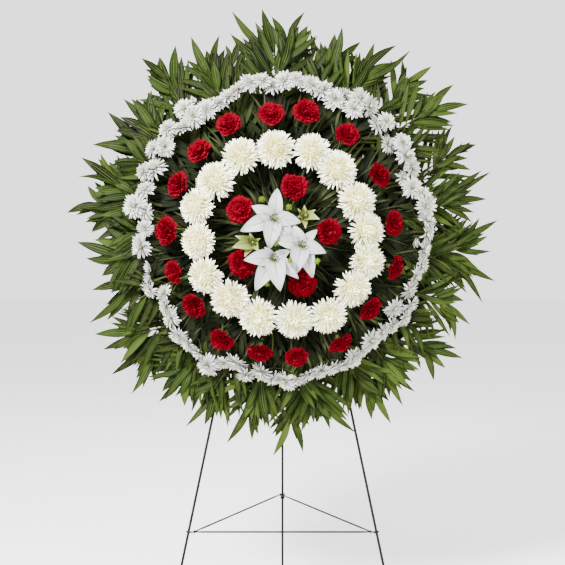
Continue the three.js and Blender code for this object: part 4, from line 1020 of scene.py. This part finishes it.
def frond(name, root, end, n0, n1, count, long, wide, rng, mats, nodes, slot, shade, first=0.25, targets=(), rach=2.1, limit=None, spread_deg=(52, 16), vary=0.0, jitter=2.0, open_deg=(30, 42)):
    """One feather palm frond in wreath coordinates: a tapering rachis with opposite leaflets."""
    root, end = np.asarray(root, float), np.asarray(end, float)
    along = unit(end - root)
    across = np.array([-along[1], along[0]])
    sweep = rng.normal(0, 0.045) * np.linalg.norm(end - root)
    t = np.linspace(0, 1, 16)
    xy = root + (end - root) * t[:, None] + across * (sweep * np.sin(np.pi * t))[:, None]
    nn = n0 + (n1 - n0) * t + 7 * np.sin(np.pi * t)
    p = np.concatenate([xy, nn[:, None]], 1)
    m = Mesh()
    v, f, uv = tube(p + np.array([0, 0, 1.35 * rach]), np.linspace(rach, 1.4, 16), 7)
    m.add(v, f, uv, float(np.clip(shade + 0.15, 0, 1)), 0.5, 1)
    at = lambda s: np.array([np.interp(s, t, p[:, j]) for j in range(3)]).T
    base, tips, widths = [], [], []
    for j in range(count):
        s = first + (1 - first) * (j + 0.5) / count
        for sd in (-1, 1):
            ss = min(s + rng.normal(0, 0.008) + 0.008 * sd, 1)
            b = at(ss)
            q = at(min(ss + 0.03, 1)) - at(max(ss - 0.03, 0))
            ang = math.atan2(q[1], q[0]) + sd * math.radians(spread_deg[0] + (spread_deg[1] - spread_deg[0]) * (ss - first) / (1 - first) + rng.normal(0, jitter))
            ln = long * float(np.interp((ss - first) / (1 - first), [0, 0.35, 0.7, 1], [0.90, 1.08, 0.98, 0.74])) * rng.uniform(0.95, 1.05)
            e = b + np.array([math.cos(ang) * ln, math.sin(ang) * ln, rng.normal(0, 7)])
            if limit is not None:
                drop = rng.uniform(0, 1) * vary
                far, cap = math.hypot(e[0], e[1]), limit(math.atan2(e[1], e[0])) - drop
                if far > cap:
                    lo, hi = 0.0, 1.0
                    for _ in range(14):
                        mid = (lo + hi) / 2
                        x = b + (e - b) * mid
                        if math.hypot(x[0], x[1]) > limit(math.atan2(x[1], x[0])) - drop:
                            hi = mid
                        else:
                            lo = mid
                    if lo < 0.70:
                        continue
                    e = b + (e - b) * lo
            e[2] = max(e[2], 10.0)
            base.append(b)
            tips.append(e)
            widths.append(wide * (0.8 + 0.25 * (ss - first)) * rng.uniform(0.85, 1.12) * min(1.0, np.linalg.norm(e - b) / (0.8 * long)))
    for tip in targets:
        tip3 = np.array([tip[0], tip[1], max(12.0, n1 + rng.normal(4, 6))])
        # the base is where the leaflet leaves the rachis at about the comb's own angle
        pts = at(np.linspace(0.12, 1.0, 60))
        run = tip3[:2] - pts[:, :2]
        size = np.linalg.norm(run, axis=1)
        lean = np.degrees(np.arccos(np.clip(run @ along / size, -1, 1)))
        cost = np.abs(lean - rng.uniform(*open_deg)) / 12 + np.maximum(0, 80 - size) / 8 + np.maximum(0, size - 145) / 8
        base.append(pts[int(np.argmin(cost))])
        tips.append(tip3)
        widths.append(wide * rng.uniform(1.0, 1.35))
    leaflets(m, np.array(base), np.array(tips), np.array(widths), rng, shade=shade)
    return m.make(name, mats, wreath_to_world, "frame", nodes, slot)


tip_angle = np.array([math.atan2(v, u) for u, v in FROND_TIPS])
tip_far = np.array([math.hypot(u, v) for u, v in FROND_TIPS])
order = np.argsort(tip_angle)
ta, tf = tip_angle[order], tip_far[order]
ta3 = np.concatenate([ta - TAU, ta, ta + TAU])
tf3 = np.concatenate([tf, tf, tf])


def rim(a):
    """How far leaves may reach in this direction: between the measured tips it drops back."""
    i = np.searchsorted(ta3, a)
    lo, hi = ta3[i - 1], ta3[i]
    x = (a - lo) / max(hi - lo, 1e-6)
    line = tf3[i - 1] * (1 - x) + tf3[i] * x
    gap = (hi - lo) * line
    return line * (1 - min(0.07, 0.0011 * gap) * math.sin(math.pi * x)) - 3


def sector_node(a):
    return f"palm_fronds_{int((a % TAU) / (TAU / 5)) + 1}"


FRONDS = 29
taken = {i: [] for i in range(FRONDS)}
fr_rng = np.random.default_rng(50)
fr_angle = (np.arange(FRONDS) + fr_rng.uniform(-0.14, 0.14, FRONDS)) / FRONDS * TAU
for i, (u, v) in enumerate(FROND_TIPS):
    a = math.atan2(v, u) % TAU
    dist = np.abs((fr_angle - a + math.pi) % TAU - math.pi)
    taken[int(np.argmin(dist))].append((u, v))


# unmeasured tips fill the wider gaps between measured ones
fill_rng = np.random.default_rng(77)
for i in range(len(order)):
    a0, a1 = ta[i], ta[(i + 1) % len(ta)] + (TAU if i == len(ta) - 1 else 0)
    arc = (a1 - a0) * tf[i]
    n_fill = int(arc // 13)
    for j in range(n_fill):
        a = a0 + (a1 - a0) * (j + 1) / (n_fill + 1) + fill_rng.normal(0, 0.006)
        far = (rim(((a + math.pi) % TAU) - math.pi) + 3) * fill_rng.uniform(0.87 if 1.7 < a % TAU < 3.4 else 0.92, 1.0)
        dist = np.abs((fr_angle - a + math.pi) % TAU - math.pi)
        taken[int(np.argmin(dist))].append((far * math.cos(a), far * math.sin(a)))


def painted_light_tone(a):
    """Painted shade and light: leaves painted darker on the upper left, under the key light, and slightly lighter
    towards the lower right, away from it, to even out the key.
    """
    return 0.385 + 0.12 * math.cos(a - math.radians(300))


for i in range(FRONDS):
    a = fr_angle[i]
    rng = np.random.default_rng(1000 + i)
    back = i % 2 == 0
    reach = rim(((a + math.pi) % TAU) - math.pi) - rng.uniform(72, 108)
    root = np.array([math.cos(a - rng.normal(0, 0.12)), math.sin(a - rng.normal(0, 0.12))]) * rng.uniform(270, 284)
    end = np.array([math.cos(a + rng.normal(0, 0.05)), math.sin(a + rng.normal(0, 0.05))]) * reach
    n0 = 24 if back else 44
    wide, count = (23.0, 8) if 2.1 < a % TAU < 3.3 else (20.5, 8) if 1.1 < a % TAU <= 2.1 else (15.0, 11) if math.cos(a + 0.12) > 0.78 else (17.5, 10)
    frond(f"palm_frond_{i + 1:02d}", root, end, n0, n0 - 6 + rng.normal(0, 6), count, 128, wide, rng, [PALM_A, RACHIS], sector_node(a), "palm_green", painted_light_tone(a), first=0.08, targets=taken[i], limit=lambda x: rim(x) - 8, vary=30.0, spread_deg=(60, 28), rach=3.9, open_deg=(44, 58) if math.cos(a + 0.12) > 0.70 else (32, 44))

# narrow fronds behind them close the outline between neighbours along the top, painted a little darker as painted shade
# behind the front fronds
for i, deg in enumerate((68, 80.5, 93, 105.5, 118, 130, 143)):
    a = math.radians(deg)
    rng = np.random.default_rng(4000 + i)
    ray = np.array([math.cos(a), math.sin(a)])
    frond(f"palm_back_{i + 1:02d}", ray * 290, ray * (rim(((a + math.pi) % TAU) - math.pi) - 62), 20, 16, 5, 96, 19.0, rng, [PALM_A, RACHIS], sector_node(a), "palm_green", painted_light_tone(a) - 0.06, first=0.30, limit=lambda x: rim(x) - 10, vary=22.0, spread_deg=(38, 15), rach=2.6)

# a nearer, shorter layer that comes out from under the white ring, painted darker as painted shade under the ring
for i in range(15):
    rng = np.random.default_rng(1200 + i)
    a = (i + 0.5 + rng.uniform(-0.25, 0.25)) / 15 * TAU
    root = np.array([math.cos(a), math.sin(a)]) * 250
    end = np.array([math.cos(a + rng.normal(0, 0.06)), math.sin(a + rng.normal(0, 0.06))]) * rng.uniform(385, 425)
    frond(f"palm_frond_short_{i + 1:02d}", root, end, 60, 56 + rng.normal(0, 5), 9, 104, 16.5, rng, [PALM_A, RACHIS], sector_node(a), "palm_green", painted_light_tone(a) - 0.12, first=0.2, limit=lambda x: rim(x) - 30, vary=40.0, spread_deg=(50, 24), rach=2.7)

# filling leaves behind the gap between the foam's edge and the white ring, in the near-black painted-shade leaf colour
for i in range(30):
    rng = np.random.default_rng(1300 + i)
    a = (i + rng.uniform(-0.25, 0.25)) / 30 * TAU
    root = np.array([math.cos(a), math.sin(a)]) * 258
    end = np.array([math.cos(a + rng.normal(0, 0.06)), math.sin(a + rng.normal(0, 0.06))]) * 374
    frond(f"palm_frond_inner_{i + 1:02d}", root, end, 20, 20 + rng.normal(0, 2), 8, 92, 42, rng, [PALM_PAINTED_SHADE, RACHIS], sector_node(a), "palm_green", 0.45, first=0.0, limit=lambda x: 402.0, spread_deg=(74, 26))

# ---- cover leaves between the rings, lying over the foam, in the near-black painted-shade leaf colour ----
COVER = 36
for i in range(COVER):
    rng = np.random.default_rng(1400 + i)
    a = (i + rng.uniform(-0.3, 0.3)) / COVER * TAU
    inner = i % 3 == 2
    root = np.array([math.cos(a), math.sin(a)]) * (46 if inner else rng.uniform(120, 170))
    end = np.array([math.cos(a + rng.normal(0, 0.08)), math.sin(a + rng.normal(0, 0.08))]) * (rng.uniform(190, 240) if inner else rng.uniform(310, 350))
    frond(f"cover_leaf_{i + 1:02d}", root, end, 66, 74 + rng.normal(0, 5), 8, 84, 15, rng, [PALM_PAINTED_SHADE, STEM], "cover_greens", "dark_green", 0.42, first=0.08, rach=1.6, spread_deg=(44, 16), limit=lambda x: 400.0)

m = Mesh()
rng = np.random.default_rng(1600)
k = 150
a = rng.uniform(0, TAU, k)
r0 = np.where(np.arange(k) % 3 == 0, rng.uniform(60, 120, k), rng.uniform(215, 300, k))
ln = rng.uniform(60, 105, k)
turn = a + rng.normal(0, 0.30, k)
b = np.stack([np.cos(a) * r0, np.sin(a) * r0, rng.uniform(70, 80, k)], -1)
e = b + np.stack([np.cos(turn) * ln, np.sin(turn) * ln, rng.uniform(4, 16, k)], -1)
leaflets(m, b, e, rng.uniform(3.0, 9.0, k), rng, shade=rng.uniform(0.1, 0.7, k), lift=rng.normal(0.15, 0.08, k))
m.make("cover_blades", [STEM], wreath_to_world, "frame", "cover_greens", "dark_green")


# ---- easel: round bent wire with real loops ----
def leg_piece(name, top_x, foot, extra, foot_r=3.0):
    top, ft = np.array([top_x, 0.0, APEX_Z]), np.array([foot[0], foot[1], 0.0])
    d = unit(ft - top)
    m = Mesh()
    length = np.linalg.norm(ft - top)
    ts = np.concatenate([np.linspace(9.5, length - 3, 60)])
    pts = top + d * ts[:, None]
    # the last ring lies flat on the floor
    v, f, uv = tube(pts, 3.0 + 0.32 * smooth(0, 40, ts - 9.5) * smooth(0, 12, length - 3 - ts), 18, cap=False)
    ring = v.reshape(-1, 18, 3)
    last = ring[-1] + d * ((0.0 - ring[-1][:, 2]) / d[2])[:, None]
    lip = last.copy()
    centre = lip.mean(0)
    rings = np.concatenate([ring, last[None], (centre + (last - centre) * 0.5)[None], (centre + (last - centre) * 0.01)[None]])
    uvr = np.concatenate([uv.reshape(-1, 18, 2), np.repeat(uv.reshape(-1, 18, 2)[-1:], 3, 0)])
    m.add(rings.reshape(-1, 3), grid_faces(1, len(rings) - 1, 18, closed=True), uvr.reshape(-1, 2), 0.5, 0.5, 0)
    # eye: the wire bent once round the pin and back along itself
    x = np.array([1.0, 0, 0])
    back = -d
    sidev = unit(np.cross(x, back))
    turns = np.linspace(0, 1, 34)
    r = 5.85
    ang = -math.pi / 2 - 0.45 + turns * (TAU - 0.9 + 0.9)
    start = math.atan2(-1, 0)
    eye = [top + r * (math.cos(t) * sidev + math.sin(t) * back) for t in np.linspace(-math.pi / 2 + 0.62, 1.5 * math.pi - 0.10, 34)]
    eye = np.array(eye)
    neck = curve([top + d * 13.0, top + d * 9.2 + sidev * 1.6, eye[0], eye[2]], 8)[:-1]
    wire = np.concatenate([neck[:-1], eye])
    rad = np.full(len(wire), 2.25)
    rad[:4] = np.linspace(2.9, 2.3, 4)
    v, f, uv = tube(wire, rad, 12)
    m.add(v, f, uv, 0.5, 0.5, 0)
    for g in extra:
        m.join(g)
    return m.make(f"{name}_wire", [ENAMEL], easel_to_world, "rear_leg" if name == "back_leg" else "frame", name, "easel_enamel")


def wreath_point(p):
    p = np.asarray(p, float)
    return W0 + p[..., :1] * AX_U + p[..., 1:2] * AX_V + p[..., 2:3] * AX_N


def hook_mesh(side):
    u, v = side * 141.0, -math.sqrt(296.0**2 - 141.0**2) - 3.1
    pts = curve([(u, v, -1.0), (u, v, 4), (u, v + 0.2, 8.3), (u, v + 2.2, 10.1), (u, v + 9, 10.2)], 22)
    m = Mesh()
    vv, f, uv = tube(wreath_point(pts), 1.35, 10)
    m.add(vv, f, uv, 0.5, 0.5, 0)
    # weld bead where the hook meets the leg
    ang = np.linspace(0, TAU, 9)[:-1]
    vv, f, uv = revolve([(0.01, -1.3), (1.7, -1.1), (2.3, 0.0), (1.8, 0.9), (1.3, 1.5), (0.01, 1.6)], wreath_point(np.array([u, v, 1.9])), AX_N, 12)
    m.add(vv, f, uv, 0.5, 0.5, 0)
    return m


leg_piece("front_leg_left", -APEX_HALF, (-FOOT_X, FRONT_FOOT_Y), [hook_mesh(-1)])
leg_piece("front_leg_right", APEX_HALF, (FOOT_X, FRONT_FOOT_Y), [hook_mesh(1)])

apex = np.array([0.0, 0.0, APEX_Z])
back_dir = unit(np.array([0.0, BACK_FOOT_Y, 0.0]) - apex)
on_back = lambda z: apex + back_dir * ((APEX_Z - z) / -back_dir[2])
collar = Mesh()
prof = [(3.0, -2.2), (5.6, -2.1), (6.5, -1.4), (6.75, 0.0), (6.5, 1.4), (5.6, 2.0), (3.0, 2.1)]
v, f, uv = revolve(prof, on_back(252.4), back_dir, 24)
collar.add(v, f, uv, 0.5, 0.5, 0)
leg_piece("back_leg", 0.0, (0.0, BACK_FOOT_Y), [collar])

m = Mesh()
v, f, uv = revolve([(0.01, -14.5), (3.6, -14.4), (5.0, -13.8), (5.45, -13.0), (5.4, -12.2), (5.0, -12.0), (2.98, -11.9), (2.98, 11.9), (5.0, 12.0), (5.4, 12.2), (5.45, 13.0), (5.0, 13.8), (3.6, 14.4), (0.01, 14.5)], apex, (1, 0, 0), 28)
m.add(v, f, uv, 0.5, 0.5, 0)
m.make("hinge_pin_rivet", [STEEL], easel_to_world, "frame", "hinge_pin", "pin_steel")

leg_x = lambda z: APEX_HALF + (FOOT_X - APEX_HALF) * (1 - z / APEX_Z)
brace_y = FRONT_FOOT_Y * (1 - BRACE_Z / APEX_Z)
bx = leg_x(BRACE_Z)
leg_dir = unit(np.array([FOOT_X - APEX_HALF, FRONT_FOOT_Y, -APEX_Z]))
m = Mesh()
LOOP = 3.0 + 0.45 + 1.9
for sd in (-1, 1):
    dd = leg_dir * np.array([sd, 1, 1])
    c = np.array([sd * bx, brace_y, BRACE_Z])
    e1 = unit(np.array([-sd, 0.0, 0.0]) - dd * (np.array([-sd, 0.0, 0.0]) @ dd))
    e2 = np.cross(dd, e1)
    t = np.linspace(0.0, TAU * 0.985, 30)
    loop = c + LOOP * (np.cos(t)[:, None] * e1 + np.sin(t)[:, None] * e2) + dd * (np.linspace(-0.9, 0.9, 30))[:, None]
    v, f, uv = tube(loop, 1.85, 12)
    m.add(v, f, uv, 0.5, 0.5, 0)
bar = np.linspace(-bx + LOOP - 0.5, bx - LOOP + 0.5, 90)
v, f, uv = tube(np.stack([bar, np.full(90, brace_y), np.full(90, BRACE_Z)], 1), 1.88 + 0.5 * smooth(0, 14, 212 - np.abs(bar)), 12)
m.add(v, f, uv, 0.5, 0.5, 0)
m.make("front_brace_wire_loops", [ENAMEL], easel_to_world, "frame", "front_brace_wire", "easel_enamel")

for sd, z, name in ((-1, 262.4, "side_brace_left"), (1, 258.0, "side_brace_right")):
    eye_mid = 1.9 + 0.2 + 1.45
    y = on_back(z)[1]
    x = sd * 6.4
    run = y - 4 - brace_y - eye_mid
    pts = [
        (sd * 220.4, brace_y + eye_mid, BRACE_Z),
        (sd * 150, brace_y + eye_mid + run * 0.328, BRACE_Z + (z - BRACE_Z) * 0.33),
        (sd * 60, brace_y + eye_mid + run * 0.75, BRACE_Z + (z - BRACE_Z) * 0.75),
        (x + sd * 2, y - 6, z), (x, y + 0.5, z), (x * 0.62, y + 5.2, z), (0, y + 6.6, z), (-x * 0.62, y + 5.2, z), (-x, y + 0.8, z),
    ]
    m = Mesh()
    t = np.linspace(0, 1, 90)
    v, f, uv = tube(curve(pts, 90), 1.76 + 0.6 * smooth(0.01, 0.05, t) * smooth(0, 0.05, 0.36 - t), 12)
    m.add(v, f, uv, 0.5, 0.5, 0)
    t = np.linspace(0.0, TAU * 0.98, 26)
    eye = np.array([sd * 221.0, brace_y, BRACE_Z]) + eye_mid * np.stack([0 * t, np.cos(t), np.sin(t)], 1) + np.array([1.0, 0, 0]) * np.linspace(-0.8, 0.8, 26)[:, None]
    v, f, uv = tube(eye, 1.3, 12)
    m.add(v, f, uv, 0.5, 0.5, 0)
    m.make(f"{name}_wire", [ENAMEL], easel_to_world, "brace", name, "easel_enamel")

# ---- backing board: moulded disc with ribs on its back ----
m = Mesh()
prof = [(0.05, 3.6)]
for k in range(1, 11):
    r0 = k * 27.0
    prof += [(r0 - 4, 4.6), (r0 - 2.2, 3.5), (r0 + 2.2, 3.5), (r0 + 4, 4.6)]
prof += [(284, 4.6), (286, 3.4), (294.5, 3.4), (295.8, 4.2), (295.8, 6.8), (294.8, 7.55), (288, 7.6), (0.05, 7.6)]
v, f, uv = revolve([(a, b) for a, b in prof], (0, 0, 0), (0, 0, 1), 120)
m.add(v, f, uv, 0.5, 0.5, 0)
m.make("backing_board_moulded", [BOARD_MAT], wreath_to_world, "frame", "backing_board", "backing")

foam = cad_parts["foam_disc"]
foam.data.materials.clear()
foam.data.materials.append(FOAM_MAT)

# ---- floor and light ----
m = Mesh()
g = np.linspace(-1, 1, 9)
gx, gy = np.meshgrid(g * 14000, g * 14000)
vv = np.stack([gx.ravel(), gy.ravel(), np.zeros(81)], 1)
me = bpy.data.meshes.new("floor")
fl = grid_faces(1, 8, 8)
me.from_pydata((vv / 1000.0 + np.array([0, 0, 0.0])).tolist(), [], fl.tolist())
floor = bpy.data.objects.new("floor", me)
bpy.context.scene.collection.objects.link(floor)
fm, nt, b = new_mat("floor_pale")
n1 = noise(nt, 3.0, 3.0)
nt.links.new(ramp(nt, n1, [(0.3, (0.88, 0.865, 0.875)), (0.7, (0.91, 0.895, 0.905))]), b.inputs["Base Color"])
b.inputs["Roughness"].default_value = 0.75
me.materials.append(fm)

world = bpy.data.worlds.new("world")
bpy.context.scene.world = world
world.use_nodes = True
bg = world.node_tree.nodes["Background"]
bg.inputs[0].default_value = (0.81, 0.785, 0.80, 1)
bg.inputs[1].default_value = 2.75


def area(name, loc, size, power, aim=(0, -0.1, 0.95), color=(1, 1, 1)):
    d = bpy.data.lights.new(name, "AREA")
    d.shape, d.size, d.size_y, d.energy, d.color = "RECTANGLE", size, size, power, color
    o = bpy.data.objects.new(name, d)
    o.location = loc
    o.rotation_euler = (Vector(aim) - Vector(loc)).to_track_quat("-Z", "Y").to_euler()
    bpy.context.scene.collection.objects.link(o)
    return o


area("key", (-1.6, -2.7, 3.0), 0.8, 800)
area("fill", (2.2, -2.8, 1.4), 1.8, 170)
area("back", (0.6, 2.6, 2.4), 2.0, 60)
